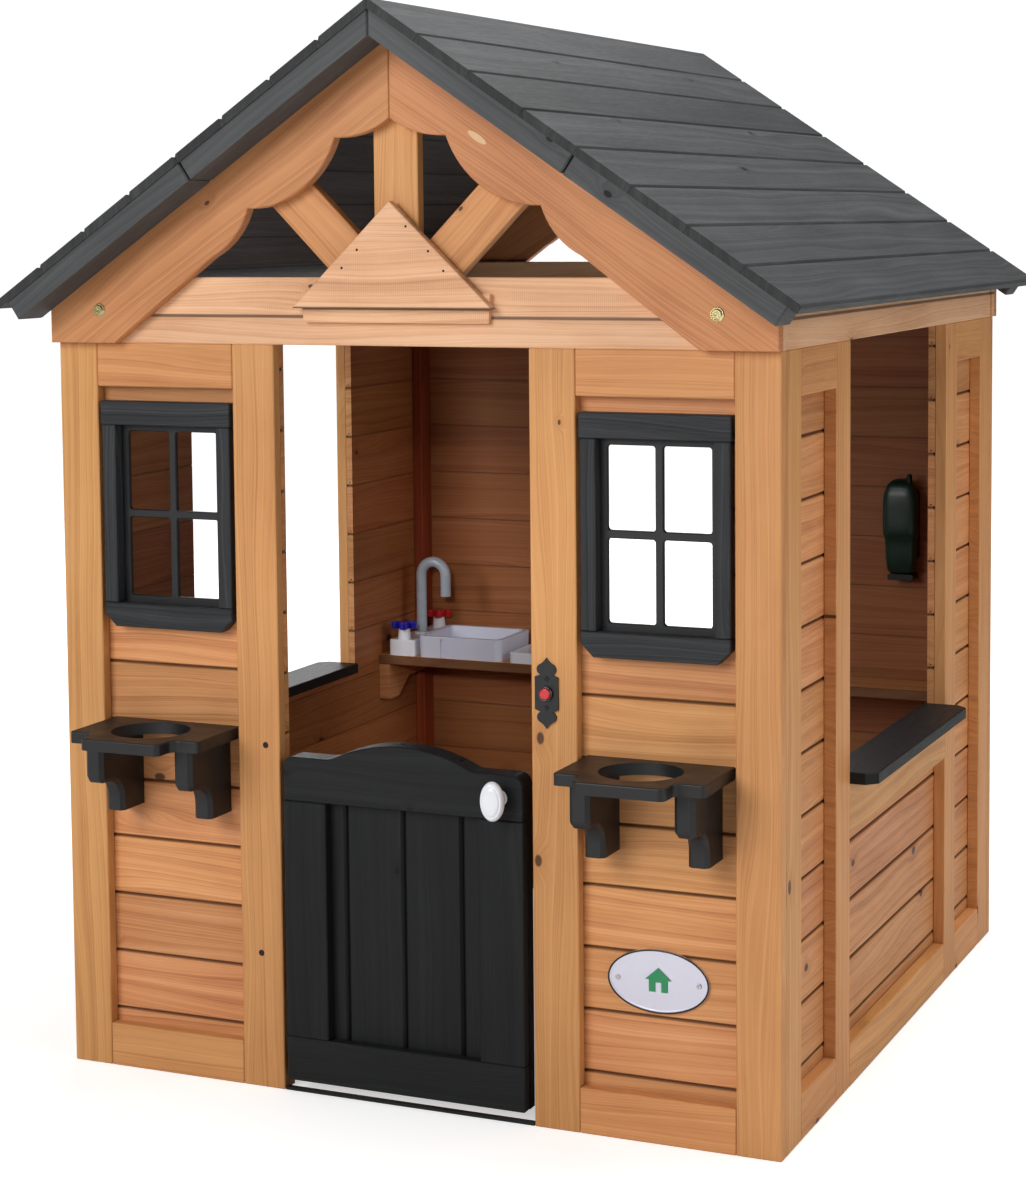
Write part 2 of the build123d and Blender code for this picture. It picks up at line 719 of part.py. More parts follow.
bracket_depth = shelf_depth - post_depth - bracket_setback - 3 * butt_gap
bracket_plane = Plane(origin=(shelf_half, shelf_front + bracket_setback, half_wall_height),
                      x_dir=(0, 1, 0), z_dir=(1, 0, 0))
with BuildPart() as one_bracket:
    with BuildSketch(bracket_plane):
        Polygon((0, 0), (bracket_depth, 0), (bracket_depth, -bracket_height / 2),
                (bracket_depth * 0.55, -bracket_height / 2), (bracket_depth * 0.25, -bracket_height),
                (0, -bracket_height), align=None)
    extrude(amount=-bracket_thick)
    chamfer(one_bracket.edges().filter_by(Axis.X), length=edge_ease)
with BuildPart() as shelf_brackets:
    add(one_bracket.part)
    mirror(one_bracket.part, about=Plane.YZ)

kitchen_front = shelf_front + kitchen_setback
deck_x = -(inner_half - butt_gap - post_thick - butt_gap) + deck_size[0] / 2
sink_left = deck_x + deck_size[0] / 2 + kitchen_gap
sink_centre = (sink_left + sink_size[0] / 2, kitchen_front + sink_size[1] / 2)
with BuildPart() as sink_basin:
    with BuildSketch(Plane.XY.offset(shelf_top)):
        with Locations(sink_centre):
            RectangleRounded(sink_size[0], sink_size[1], sink_corner)
    extrude(amount=sink_size[2], taper=-2)
    with BuildSketch(Plane.XY.offset(shelf_top + sink_size[2])):
        with Locations(sink_centre):
            RectangleRounded(sink_size[0] - 2 * sink_wall, sink_size[1] - 2 * sink_wall, sink_corner - 2)
    extrude(amount=-(sink_size[2] - sink_floor), taper=8, mode=Mode.SUBTRACT)
    fillet(sink_basin.edges().group_by(Axis.Z)[-1], radius=1.5)
    with Locations((sink_centre[0], sink_centre[1], shelf_top + sink_floor)):
        Cylinder(drain_radius, 2 * sink_floor, mode=Mode.SUBTRACT)
    with Locations((sink_left + sink_size[0] * 0.3, kitchen_front, shelf_top)):
        Box(overflow_size[0], 2 * overflow_size[1], 2 * sink_size[2] - 8, mode=Mode.SUBTRACT)

deck_centre_y = kitchen_front + deck_size[1] / 2
deck_top = shelf_top + deck_size[2]
faucet_row = [deck_centre_y - faucet_setback + place * faucet_spacing for place in (-1, 0, 1)]
handle_bottom = deck_top + stem_height
spout_bottom = deck_top + faucet_flange
with BuildPart() as faucet_deck:
    with BuildSketch(Plane.XY.offset(shelf_top)):
        with Locations((deck_x, deck_centre_y)):
            RectangleRounded(deck_size[0], deck_size[1], 5)
    extrude(amount=deck_size[2])
    fillet(faucet_deck.edges().group_by(Axis.Z)[-1], radius=2)
    with Locations((deck_x, faucet_row[0], deck_top), (deck_x, faucet_row[2], deck_top)):
        Cone(stem_radius + 2, stem_radius, stem_height, align=standing)
        Cylinder(spindle_radius, stem_height + spindle_height, align=standing)
    with Locations((deck_x, faucet_row[1], deck_top)):
        Cylinder(stem_radius + 3, faucet_flange, align=standing)
        Cylinder(spindle_radius, faucet_flange + spindle_height, align=standing)

with BuildPart() as faucet_spout:
    with BuildLine(Plane(origin=(deck_x, faucet_row[1], spout_bottom + turn_play),
                         x_dir=(1, 0, 0), z_dir=(0, -1, 0))) as spout_path:
        Line((0, 0), (0, spout_rise))
        ThreePointArc((0, spout_rise), (spout_bend, spout_rise + spout_bend), (2 * spout_bend, spout_rise))
        Line((2 * spout_bend, spout_rise), (2 * spout_bend, spout_rise - spout_drop))
    with BuildSketch(Plane.XY.offset(spout_bottom + turn_play)):
        with Locations((deck_x, faucet_row[1])):
            Circle(spout_radius)
    sweep(path=spout_path.line)
    with Locations((deck_x, faucet_row[1], deck_top)):
        Cylinder(spindle_radius + turn_play, faucet_flange + spindle_height + 3, align=standing,
                 mode=Mode.SUBTRACT)
    with Locations((deck_x + 2 * spout_bend, faucet_row[1], spout_bottom + spout_rise - spout_drop)):
        Cylinder(spout_radius - 2.5, 16, mode=Mode.SUBTRACT)


def faucet_handle(centre_y):
    """A handle of four rounded lobes on a hub, which turns on the deck's spindle."""
    with BuildPart() as handle:
        with BuildSketch(Plane.XY.offset(handle_bottom + turn_play)):
            with Locations((deck_x, centre_y)):
                Circle(handle_reach * 0.48)
                with PolarLocations(handle_reach * 0.7, 4, start_angle=20):
                    Circle(handle_reach * 0.3)
                with Locations(Location((0, 0), 20), Location((0, 0), 110)):
                    Rectangle(handle_reach * 1.4, handle_reach * 0.36)
        extrude(amount=handle_height)
        fillet(handle.edges().group_by(Axis.Z)[-1], radius=2)
        fillet(handle.edges().group_by(Axis.Z)[0], radius=1.5)
        with Locations((deck_x, centre_y, handle_bottom)):
            Cylinder(spindle_radius + turn_play, spindle_height + 1, align=standing,
                     mode=Mode.SUBTRACT)
    return handle.part


handle_piece = faucet_handle(faucet_row[0])
with BuildPart() as cold_handle:
    add(handle_piece)
handle_piece = faucet_handle(faucet_row[2])
with BuildPart() as hot_handle:
    add(handle_piece)

hob_left = sink_left + sink_size[0] + 2 * kitchen_gap
hob_centre = (hob_left + sink_size[0] / 2, sink_centre[1])
hob_top = shelf_top + hob_height
hob_knob_at = (hob_left + 46, kitchen_front + 22)
ring_centre = (hob_left + sink_size[0] - ring_radius - 12, hob_centre[1] + 8)
with BuildPart() as hob:
    with BuildSketch(Plane.XY.offset(shelf_top)):
        with Locations(hob_centre):
            RectangleRounded(sink_size[0], sink_size[1], 8)
    extrude(amount=hob_height)
    fillet(hob.edges().group_by(Axis.Z)[-1], radius=2)
    with BuildSketch(Plane.XY.offset(hob_top)):
        with Locations(ring_centre):
            for radius in (ring_radius, ring_radius * 0.68, ring_radius * 0.36):
                Circle(radius)
                Circle(radius - ring_width, mode=Mode.SUBTRACT)
    extrude(amount=2)
    with Locations((*hob_knob_at, hob_top)):
        Cylinder(spindle_radius, spindle_height - 1, align=standing)

with BuildPart() as hob_knob:
    with BuildSketch(Plane.XY.offset(hob_top + turn_play)):
        with Locations(hob_knob_at):
            Circle(hob_knob_radius)
    extrude(amount=5)
    with BuildSketch(Plane.XY.offset(hob_top + turn_play + 5)):
        with Locations(hob_knob_at):
            RectangleRounded(2 * hob_knob_radius - 4, 8, 3)
    extrude(amount=8)
    fillet(hob_knob.edges().group_by(Axis.Z)[-1], radius=1.5)
    with Locations((*hob_knob_at, hob_top)):
        Cylinder(spindle_radius + turn_play, spindle_height, align=standing, mode=Mode.SUBTRACT)

# ---- wall phone on the back wall, right of the opening ----
phone_x = window_spread + phone_shift
phone_bottom = shelf_top + phone_clear
foot_plate = 9.4
wall_inside = Plane(origin=(phone_x, shelf_back, phone_bottom), x_dir=(1, 0, 0), z_dir=(0, -1, 0))
with BuildPart() as phone_cradle:
    with BuildSketch(wall_inside):
        with Locations((0, phone_height * 0.5)):
            RectangleRounded(phone_width - 8, phone_height * 0.74, 8)
    extrude(amount=cradle_depth)
    fillet(phone_cradle.faces().sort_by(Axis.Y)[0].edges(), radius=3)
    with BuildSketch(wall_inside):
        with Locations((0, phone_height * 0.13)):
            Rectangle(phone_width - 18, phone_height * 0.1)
        with Locations((0, -5)):
            RectangleRounded(phone_width - 14, foot_plate, 3)
        with Locations((0, phone_height * 0.04)):
            Rectangle(phone_width - 24, phone_height * 0.12)
    extrude(amount=cradle_depth - 3)
    with BuildSketch(wall_inside):
        with Locations((0, -5)):
            RectangleRounded(phone_width - 14, foot_plate, 3)
    extrude(amount=cradle_depth + phone_depth * 0.6)

with BuildPart() as phone_handset:
    with BuildSketch(wall_inside.offset(cradle_depth + turn_play)):
        with Locations((0, phone_height / 2)):
            RectangleRounded(phone_width, phone_height, 14)
    extrude(amount=phone_depth)
    fillet(phone_handset.faces().sort_by(Axis.Y)[0].edges(), radius=8)
    fillet(phone_handset.faces().sort_by(Axis.Y)[-1].edges(), radius=2)
    with BuildSketch(Plane.XY.offset(phone_bottom + phone_height - 3)):
        with Locations((phone_x + phone_width / 2 - 13, shelf_back - cradle_depth - phone_depth / 2)):
            Circle(antenna_radius)
    extrude(amount=antenna_height + 3)
    fillet(phone_handset.edges().group_by(Axis.Z)[-1], radius=2)

# ---- pot shelves: plates with a round hole, on two corbels each ----
siding_face = front_wall.offset(-frame_thick)
shelf_plane = Plane(origin=(window_spread, siding_face.origin.Y, pot_shelf_top), x_dir=(1, 0, 0),
                    z_dir=(0, 0, 1))
bulge_half = shelf_hole_radius + 7
cove = 11
pot_shelf_width = recess_width
shoulder_y = -pot_shelf_shoulder
with BuildPart() as right_pot_shelf:
    with BuildSketch(shelf_plane):
        with Locations((0, shoulder_y / 2)):
            Rectangle(pot_shelf_width, pot_shelf_shoulder)
        with Locations((0, -pot_shelf_depth / 2)):
            Rectangle(2 * bulge_half, pot_shelf_depth)
        with Locations((-bulge_half - cove / 2, shoulder_y - cove / 2),
                       (bulge_half + cove / 2, shoulder_y - cove / 2)):
            Rectangle(cove, cove)
        with Locations((-bulge_half - cove, shoulder_y - cove), (bulge_half + cove, shoulder_y - cove)):
            Circle(cove, mode=Mode.SUBTRACT)
        with Locations((0, -pot_shelf_shoulder * 0.6)):
            Circle(shelf_hole_radius, mode=Mode.SUBTRACT)
    extrude(amount=-pot_shelf_thick)
    corners = right_pot_shelf.edges().filter_by(Axis.Z).group_by(Axis.Y)
    fillet(corners[0], radius=9)
    shoulders = right_pot_shelf.edges().filter_by(Axis.Z).filter_by_position(Axis.Y,
                shelf_plane.origin.Y + shoulder_y - 0.1, shelf_plane.origin.Y + shoulder_y + 0.1)
    fillet(shoulders.sort_by(Axis.X)[0], radius=5)
    fillet(shoulders.sort_by(Axis.X)[-1], radius=5)
    top_edges = right_pot_shelf.faces().sort_by(Axis.Z)[-1].outer_wire().edges()
    fillet(top_edges.filter_by(lambda e: e.center().Y < shelf_plane.origin.Y - 1), radius=2)

corbel_top = pot_shelf_top - pot_shelf_thick
corbel_side = Plane(origin=(window_spread + corbel_spread - corbel_width / 2, siding_face.origin.Y,
                            corbel_top), x_dir=(0, -1, 0), z_dir=(-1, 0, 0))
nose = 11
step = corbel_height * 0.55
waist = corbel_depth * 0.52
cove_radius = 26
with BuildPart() as one_corbel:
    with BuildSketch(corbel_side):
        with BuildLine():
            Polyline((0, -corbel_height), (0, 0), (corbel_depth, 0), (corbel_depth, nose - step))
            RadiusArc((corbel_depth, nose - step), (corbel_depth - nose, -step), nose)
            Line((corbel_depth - nose, -step), (waist + cove_radius, -step))
            RadiusArc((waist + cove_radius, -step), (waist, -step - cove_radius), -cove_radius)
            Line((waist, -step - cove_radius), (waist, -corbel_height))
            Line((waist, -corbel_height), (0, -corbel_height))
        make_face()
    extrude(amount=-corbel_width)
    long_edges = one_corbel.faces().sort_by(Axis.Y)[0].edges().filter_by(Axis.Z)
    chamfer(long_edges, length=corbel_bevel)
with BuildPart() as right_pot_brackets:
    add(one_corbel.part)
    mirror(one_corbel.part, about=Plane.YZ.offset(window_spread))
with BuildPart() as left_pot_shelf:
    mirror(right_pot_shelf.part, about=Plane.YZ)
with BuildPart() as left_pot_brackets:
    mirror(right_pot_brackets.part, about=Plane.YZ)

# ---- doorbell: a spade-ended plate with a push button, on the right doorpost ----
bell_button_out = 6.5
bell_ring = 1.7
bell_screw_up = bell_body_height / 2 - 3
bell_plane = Plane(origin=(door_half + bell_out, front_face, bell_up), x_dir=(1, 0, 0),
                   z_dir=(0, -1, 0))
body = bell_body_height / 2
neck = bell_width * 0.26
spade = bell_width * 0.41
with BuildPart() as doorbell_plate:
    with BuildSketch(bell_plane):
        with BuildLine():
            ThreePointArc((0, bell_height / 2), (spade * 0.3, body + 18), (spade * 0.62, body + 15))
            ThreePointArc((spade * 0.62, body + 15), (spade, body + 8), (neck, body + 2))
            Polyline((neck, body + 2), (bell_width / 2, body - 1), (bell_width / 2, 0), (0, 0),
                     (0, bell_height / 2))
        make_face()
        mirror(about=Plane.YZ)
        mirror(about=Plane.XZ)
    extrude(amount=bell_thick)
    with BuildSketch(bell_plane.offset(bell_thick)):
        Circle(bell_button_radius + turn_play + bell_ring)
    extrude(amount=bell_travel + 1)
    with BuildSketch(bell_plane):
        Circle(bell_button_radius + turn_play)
    extrude(amount=2 * bell_thick + bell_travel, mode=Mode.SUBTRACT)

with BuildPart() as doorbell_button:
    with BuildSketch(bell_plane.offset(bell_travel + turn_play)):
        Circle(bell_button_radius)
    extrude(amount=bell_thick + bell_button_out - bell_travel)
    fillet(doorbell_button.edges().group_by(Axis.Y)[0], radius=2)


def screw_heads(plane, places, radius, height):
    """Round screw heads with a cross recess."""
    with BuildPart() as screws:
        with BuildSketch(plane):
            with Locations(places):
                Circle(radius)
        extrude(amount=height, taper=18)
        with BuildSketch(plane.offset(height * 0.5)):
            with Locations(places):
                Rectangle(radius * 1.1, radius * 0.3)
                Rectangle(radius * 0.3, radius * 1.1)
        extrude(amount=height, mode=Mode.SUBTRACT)
    return screws.part


bell_screw_piece = screw_heads(bell_plane.offset(bell_thick),
                               [(0, -bell_screw_up), (0, bell_screw_up)], 3, 1.6)
with BuildPart() as doorbell_screws:
    add(bell_screw_piece)

# ---- oval plate on the right panel's siding ----
oval_plane = Plane(origin=(window_spread + name_plate_shift, siding_face.origin.Y, name_plate_up),
                   x_dir=(1, 0, 0), z_dir=(0, -1, 0))
oval = (name_plate_size[0] / 2, name_plate_size[1] / 2)
oval_rim = 3.5
with BuildPart() as name_plate:
    with BuildSketch(oval_plane):
        Ellipse(*oval)
    extrude(amount=name_plate_thick)
    fillet(name_plate.faces().sort_by(Axis.Y)[0].edges(), radius=1)
    with BuildSketch(oval_plane.offset(name_plate_thick)):
        Ellipse(oval[0] - oval_rim, oval[1] - oval_rim)
    extrude(amount=-0.8, mode=Mode.SUBTRACT)
oval_screws = screw_heads(oval_plane.offset(name_plate_thick - 0.8),
                          [(-oval[0] * 0.8, 0), (oval[0] * 0.8, 0)], 3.6, 1.6)
with BuildPart() as name_plate_screws:
    add(oval_screws)

# ---- label and write every piece ----
pieces = {
    "front_left_frame": front_left_frame,
    "front_left_siding": front_left_siding,
    "front_right_frame": front_right_frame,
    "front_right_siding": front_right_siding,
    "left_window_trim": left_window_trim,
    "left_window_grid": left_window_grid,
    "right_window_trim": right_window_trim,
    "right_window_grid": right_window_grid,
    "door_threshold": door_threshold,
    "left_wall_frames": left_wall_frames,
    "left_wall_siding": left_wall_siding,
    "left_half_wall_rails": left_half_wall_rails,
    "left_counter": left_counter,
    "right_wall_frames": right_wall_frames,
    "right_wall_siding": right_wall_siding,
    "right_half_wall_rails": right_half_wall_rails,
    "right_counter": right_counter,
    "side_headers": side_headers,
    "back_wall_frames": back_wall_frames,
    "back_wall_siding": back_wall_siding,
    "back_half_wall_rails": back_half_wall_rails,
    "corner_posts": corner_posts,
    "front_gable_tie": front_gable_tie,
    "front_gable_rafters": front_gable_rafters,
    "front_gable_spokes": front_gable_spokes,
    "front_gable_plate": front_gable_plate,
    "back_gable_tie": back_gable_tie,
    "back_gable_rafters": back_gable_rafters,
    "gable_bolts": gable_bolts,
    "roof_left_boards": roof_left_boards,
    "roof_right_boards": roof_right_boards,
    "roof_left_battens": roof_left_battens,
    "roof_right_battens": roof_right_battens,
    "kitchen_shelf": kitchen_shelf,
    "shelf_brackets": shelf_brackets,
    "sink_basin": sink_basin,
    "faucet_deck": faucet_deck,
    "faucet_spout": faucet_spout,
    "cold_handle": cold_handle,
    "hot_handle": hot_handle,
    "hob": hob,
    "hob_knob": hob_knob,
    "phone_cradle": phone_cradle,
    "phone_handset": phone_handset,
    "left_pot_shelf": left_pot_shelf,
    "left_pot_brackets": left_pot_brackets,
    "right_pot_shelf": right_pot_shelf,
    "right_pot_brackets": right_pot_brackets,
    "doorbell_plate": doorbell_plate,
    "doorbell_button": doorbell_button,
    "doorbell_screws": doorbell_screws,
    "name_plate": name_plate,
    "name_plate_screws": name_plate_screws,
    "door_frame": door_frame,
    "door_boards": door_boards,
    "door_knob": door_knob,
    "door_hinge_leaves": door_hinge_leaves,
    "post_hinge_leaves": post_hinge_leaves,
    "hinge_pins": hinge_pins,
}
for label, piece in pieces.items():
    piece.part.label = label
    export_step(piece.part, f"parts/{label}.step")
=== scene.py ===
import math
import bmesh
import bpy
from mathutils import Matrix, Vector


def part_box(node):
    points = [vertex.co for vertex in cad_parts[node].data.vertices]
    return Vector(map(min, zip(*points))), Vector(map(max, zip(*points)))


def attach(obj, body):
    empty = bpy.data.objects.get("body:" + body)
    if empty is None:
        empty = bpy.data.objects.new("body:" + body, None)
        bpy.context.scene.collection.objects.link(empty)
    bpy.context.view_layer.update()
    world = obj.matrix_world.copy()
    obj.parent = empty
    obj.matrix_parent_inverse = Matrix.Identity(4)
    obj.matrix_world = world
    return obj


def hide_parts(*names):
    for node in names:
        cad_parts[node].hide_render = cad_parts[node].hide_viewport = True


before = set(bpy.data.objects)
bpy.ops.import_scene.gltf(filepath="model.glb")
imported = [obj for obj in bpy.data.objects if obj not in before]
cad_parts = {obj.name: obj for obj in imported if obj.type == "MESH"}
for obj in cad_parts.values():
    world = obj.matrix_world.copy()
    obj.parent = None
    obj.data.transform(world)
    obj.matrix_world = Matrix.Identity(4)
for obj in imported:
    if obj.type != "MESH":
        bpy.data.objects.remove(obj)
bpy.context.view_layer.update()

# A stained cedar playhouse: every board keeps its shape from the frame and gets its own grain.
# The frame is in metres: X to the right, Y into the house, Z up. The sizes below are in millimetres.
MM = 0.001
COURSE = 78.0            # height of one siding board
FIRST_JOINT = 74.0       # height of the lowest joint between siding boards
STILE = 60.0             # width of a wall frame's upright board
CORNER_STILE = 57.0      # width of the upright at the front's outer corner
BAND = 200.0             # height of the bands that rails, ties and headers are counted in
HALF_HEIGHT = 500.0      # a height between the lower and the upper rails of the walls
ROOF_PITCH = math.radians(34)
ROOF_BOARD = 81.87       # width of a roof board down the slope
PAST_THE_FOOT = 900.0    # farther out than a rafter reaches, for boards without a joint
DOOR_BOARD = 81.0        # width of an upright board in the half door
DOOR_BOARD_EDGE = -85.0  # where the first of its joints lies
DOOR_RAIL = 57.0         # width of its level boards
DOOR_ARCH = 24.0         # rise of its arched top
TRIM_RAIL = 31.0         # width of a window trim's head and sill boards
POST_PITCH = 300.0       # apart enough to give the left and the right posts their own boards
COUNTER_FROM = 100.0     # nearer the middle than the right counter
SPOKE_HALF = 30.2        # half the middle spoke's width, and a hair more
PLATE_SEAM = 1011.0      # height where the triangular plate meets its backing strip
SHELF_FRONT = 356.0      # the kitchen shelf's front edge
SHELF_PLANK = 86.5       # width of one of its two planks
WHOLE = 500.0            # wider than any single board
OUT_OF_REACH = 900.0     # a joint farther out than the house


# ---- nodes ----
def linear(hex_colour, alpha=1.0):
    """An sRGB hex colour as the linear values that a shader takes."""
    parts = [int(hex_colour[i:i + 2], 16) / 255 for i in (1, 3, 5)]
    return (*[c / 12.92 if c <= 0.04045 else ((c + 0.055) / 1.055) ** 2.4 for c in parts], alpha)


def put(tree, kind, inputs=None, **settings):
    """Adds a node, sets its properties and its sockets, and returns its outputs."""
    node = tree.nodes.new(kind)
    for name, value in settings.items():
        setattr(node, name, value)
    for socket, value in (inputs or {}).items():
        if isinstance(value, bpy.types.bpy_prop_collection):
            value = value[0]
        if isinstance(value, bpy.types.NodeSocket):
            tree.links.new(value, node.inputs[socket])
        else:
            node.inputs[socket].default_value = value
    return node.outputs


def new_material(name):
    """An empty material and its node tree."""
    material = bpy.data.materials.new(name)
    material.use_nodes = True
    material.node_tree.nodes.clear()
    return material, material.node_tree


def close_shader(tree, sockets):
    """Ends a tree in a principled shader with the given sockets."""
    shader = put(tree, "ShaderNodeBsdfPrincipled", sockets)
    put(tree, "ShaderNodeOutputMaterial", {"Surface": shader["BSDF"]})


# ---- how the boards of a node lie ----
# A layout is a function that takes a tree and returns three sockets: a vector in millimetres whose X
# runs with the grain and whose Y runs across the board, a number that is the board's own, and the
# distance to the nearest joint, or None where a node's boards have no tight joint between them.
# The numbers only have to differ from board to board, because they pick each board's pattern.
RAIL_NUMBER = 100.0      # sets a wall frame's level boards apart from its upright ones
LEAF_RAIL_NUMBER = 20.0  # the same in the half door and the window trims
LEAF_HEAD_NUMBER = 7.0   # sets their upper board apart from the lower one
OTHER_SLOPE = 20.0       # sets the right slope's boards apart from the left's


def place_in_mm(tree):
    """The piece's own X, Y and Z in millimetres."""
    spot = put(tree, "ShaderNodeTexCoord")["Object"]
    scaled = put(tree, "ShaderNodeVectorMath", {0: spot, "Scale": 1 / MM}, operation="SCALE")
    return put(tree, "ShaderNodeSeparateXYZ", {0: scaled})


def to_joint(tree, steps, width):
    """Millimetres to the nearest joint between boards, from a count of boards with a fraction."""
    share = put(tree, "ShaderNodeMath", {0: steps, 1: 1.0}, operation="PINGPONG")
    near = put(tree, "ShaderNodeMath", {0: share, 1: 0.5}, operation="PINGPONG")
    return put(tree, "ShaderNodeMath", {0: near, 1: width}, operation="MULTIPLY")


def laid_boards(grain, across, first, width):
    """Parallel boards: grain and across are axis letters, first is a joint, width one board."""
    def build(tree):
        place = place_in_mm(tree)
        shifted = put(tree, "ShaderNodeMath", {0: place[across], 1: first}, operation="SUBTRACT")
        steps = put(tree, "ShaderNodeMath", {0: shifted, 1: width}, operation="DIVIDE")
        number = put(tree, "ShaderNodeMath", {0: steps}, operation="FLOOR")
        depth = ({"X", "Y", "Z"} - {grain, across}).pop()
        vector = put(tree, "ShaderNodeCombineXYZ",
                     {0: place[grain], 1: place[across], 2: place[depth]})
        return vector, number, to_joint(tree, steps, width)
    return build


def framed_boards(level, dividers, rail_spans):
    """Upright stiles with level rails between them. Dividers are places along the level axis that
    part one upright from the next, and rail_spans are the stretches of it where the rails run."""
    def build(tree):
        place = place_in_mm(tree)
        is_rail = 0.0
        for low, high in rail_spans:
            past = put(tree, "ShaderNodeMath", {0: place[level], 1: low}, operation="GREATER_THAN")
            before = put(tree, "ShaderNodeMath", {0: place[level], 1: high}, operation="LESS_THAN")
            is_rail = put(tree, "ShaderNodeMath", {0: past, 1: before, 2: is_rail},
                          operation="MULTIPLY_ADD")
        upper = put(tree, "ShaderNodeMath", {0: place["Z"], 1: HALF_HEIGHT}, operation="GREATER_THAN")
        number = put(tree, "ShaderNodeMath", {0: upper, 1: is_rail}, operation="MULTIPLY")
        is_stile = put(tree, "ShaderNodeMath", {0: 1.0, 1: is_rail}, operation="SUBTRACT")
        for power, edge in enumerate(dividers):
            past = put(tree, "ShaderNodeMath", {0: place[level], 1: edge}, operation="GREATER_THAN")
            if any(low < edge < high for low, high in rail_spans):
                past = put(tree, "ShaderNodeMath", {0: past, 1: is_stile}, operation="MULTIPLY")
            number = put(tree, "ShaderNodeMath", {0: past, 1: 2.0 ** (power + 1), 2: number},
                         operation="MULTIPLY_ADD")
        number = put(tree, "ShaderNodeMath", {0: is_rail, 1: RAIL_NUMBER, 2: number},
                     operation="MULTIPLY_ADD")
        depth = ({"X", "Y"} - {level}).pop()
        upright = put(tree, "ShaderNodeCombineXYZ", {0: place["Z"], 1: place[level], 2: place[depth]})
        flat = put(tree, "ShaderNodeCombineXYZ", {0: place[level], 1: place["Z"], 2: place[depth]})
        vector = put(tree, "ShaderNodeMix", {0: is_rail, 4: upright, 5: flat}, data_type="VECTOR")[1]
        return vector, number, None
    return build


def leaf_boards(head_line, sill_line):
    """Two stiles between level boards over the head line and under the sill line, as in the half
    door and in a window's trim."""
    def build(tree):
        place = place_in_mm(tree)
        above = put(tree, "ShaderNodeMath", {0: place["Z"], 1: head_line}, operation="GREATER_THAN")
        below = put(tree, "ShaderNodeMath", {0: place["Z"], 1: sill_line}, operation="LESS_THAN")
        is_rail = put(tree, "ShaderNodeMath", {0: above, 1: below}, operation="ADD")
        side = put(tree, "ShaderNodeMath", {0: place["X"], 1: 0.0}, operation="GREATER_THAN")
        stile = put(tree, "ShaderNodeMath", {0: 1.0, 1: is_rail}, operation="SUBTRACT")
        number = put(tree, "ShaderNodeMath", {0: side, 1: stile}, operation="MULTIPLY")
        number = put(tree, "ShaderNodeMath", {0: above, 1: LEAF_HEAD_NUMBER, 2: number},
                     operation="MULTIPLY_ADD")
        number = put(tree, "ShaderNodeMath", {0: is_rail, 1: LEAF_RAIL_NUMBER, 2: number},
                     operation="MULTIPLY_ADD")
        upright = put(tree, "ShaderNodeCombineXYZ", {0: place["Z"], 1: place["X"], 2: place["Y"]})
        flat = put(tree, "ShaderNodeCombineXYZ", {0: place["X"], 1: place["Z"], 2: place["Y"]})
        vector = put(tree, "ShaderNodeMix", {0: is_rail, 4: upright, 5: flat}, data_type="VECTOR")[1]
        return vector, number, None
    return build


def sloped_boards(angle, joint):
    """A mirrored pair of boards that fall away from the middle at an angle. The joint is how far
    out each of them is cut in two."""
    def build(tree):
        place = place_in_mm(tree)
        out = put(tree, "ShaderNodeMath", {0: place["X"]}, operation="ABSOLUTE")
        along = put(tree, "ShaderNodeMath", {0: out, 1: math.cos(angle)}, operation="MULTIPLY")
        along = put(tree, "ShaderNodeMath", {0: place["Z"], 1: -math.sin(angle), 2: along},
                    operation="MULTIPLY_ADD")
        across = put(tree, "ShaderNodeMath", {0: out, 1: math.sin(angle)}, operation="MULTIPLY")
        across = put(tree, "ShaderNodeMath", {0: place["Z"], 1: math.cos(angle), 2: across},
                     operation="MULTIPLY_ADD")
        number = put(tree, "ShaderNodeMath", {0: place["X"], 1: 0.0}, operation="GREATER_THAN")
        lower = put(tree, "ShaderNodeMath", {0: out, 1: joint}, operation="GREATER_THAN")
        number = put(tree, "ShaderNodeMath", {0: lower, 1: 2.0, 2: number}, operation="MULTIPLY_ADD")
        vector = put(tree, "ShaderNodeCombineXYZ", {0: along, 1: across, 2: place["Y"]})
        return vector, number, None
    return build


def spoke_boards(half_width):
    """One upright spoke in the middle and one at 45 degrees on each side."""
    def build(tree):
        place = place_in_mm(tree)
        out = put(tree, "ShaderNodeMath", {0: place["X"]}, operation="ABSOLUTE")
        slant = put(tree, "ShaderNodeMath", {0: out, 1: half_width}, operation="GREATER_THAN")
        rise = put(tree, "ShaderNodeMath", {0: place["Z"], 1: out}, operation="ADD")
        fall = put(tree, "ShaderNodeMath", {0: place["Z"], 1: out}, operation="SUBTRACT")
        upright = put(tree, "ShaderNodeCombineXYZ", {0: place["Z"], 1: place["X"], 2: place["Y"]})
        tilted = put(tree, "ShaderNodeCombineXYZ", {0: rise, 1: fall, 2: place["Y"]})
        shrink = put(tree, "ShaderNodeVectorMath", {0: tilted, "Scale": math.sqrt(0.5)},
                     operation="SCALE")
        vector = put(tree, "ShaderNodeMix", {0: slant, 4: upright, 5: shrink},
                     data_type="VECTOR")[1]
        right = put(tree, "ShaderNodeMath", {0: place["X"], 1: half_width},
                    operation="GREATER_THAN")
        number = put(tree, "ShaderNodeMath", {0: slant, 1: 3.0, 2: right}, operation="MULTIPLY_ADD")
        return vector, number, None
    return build


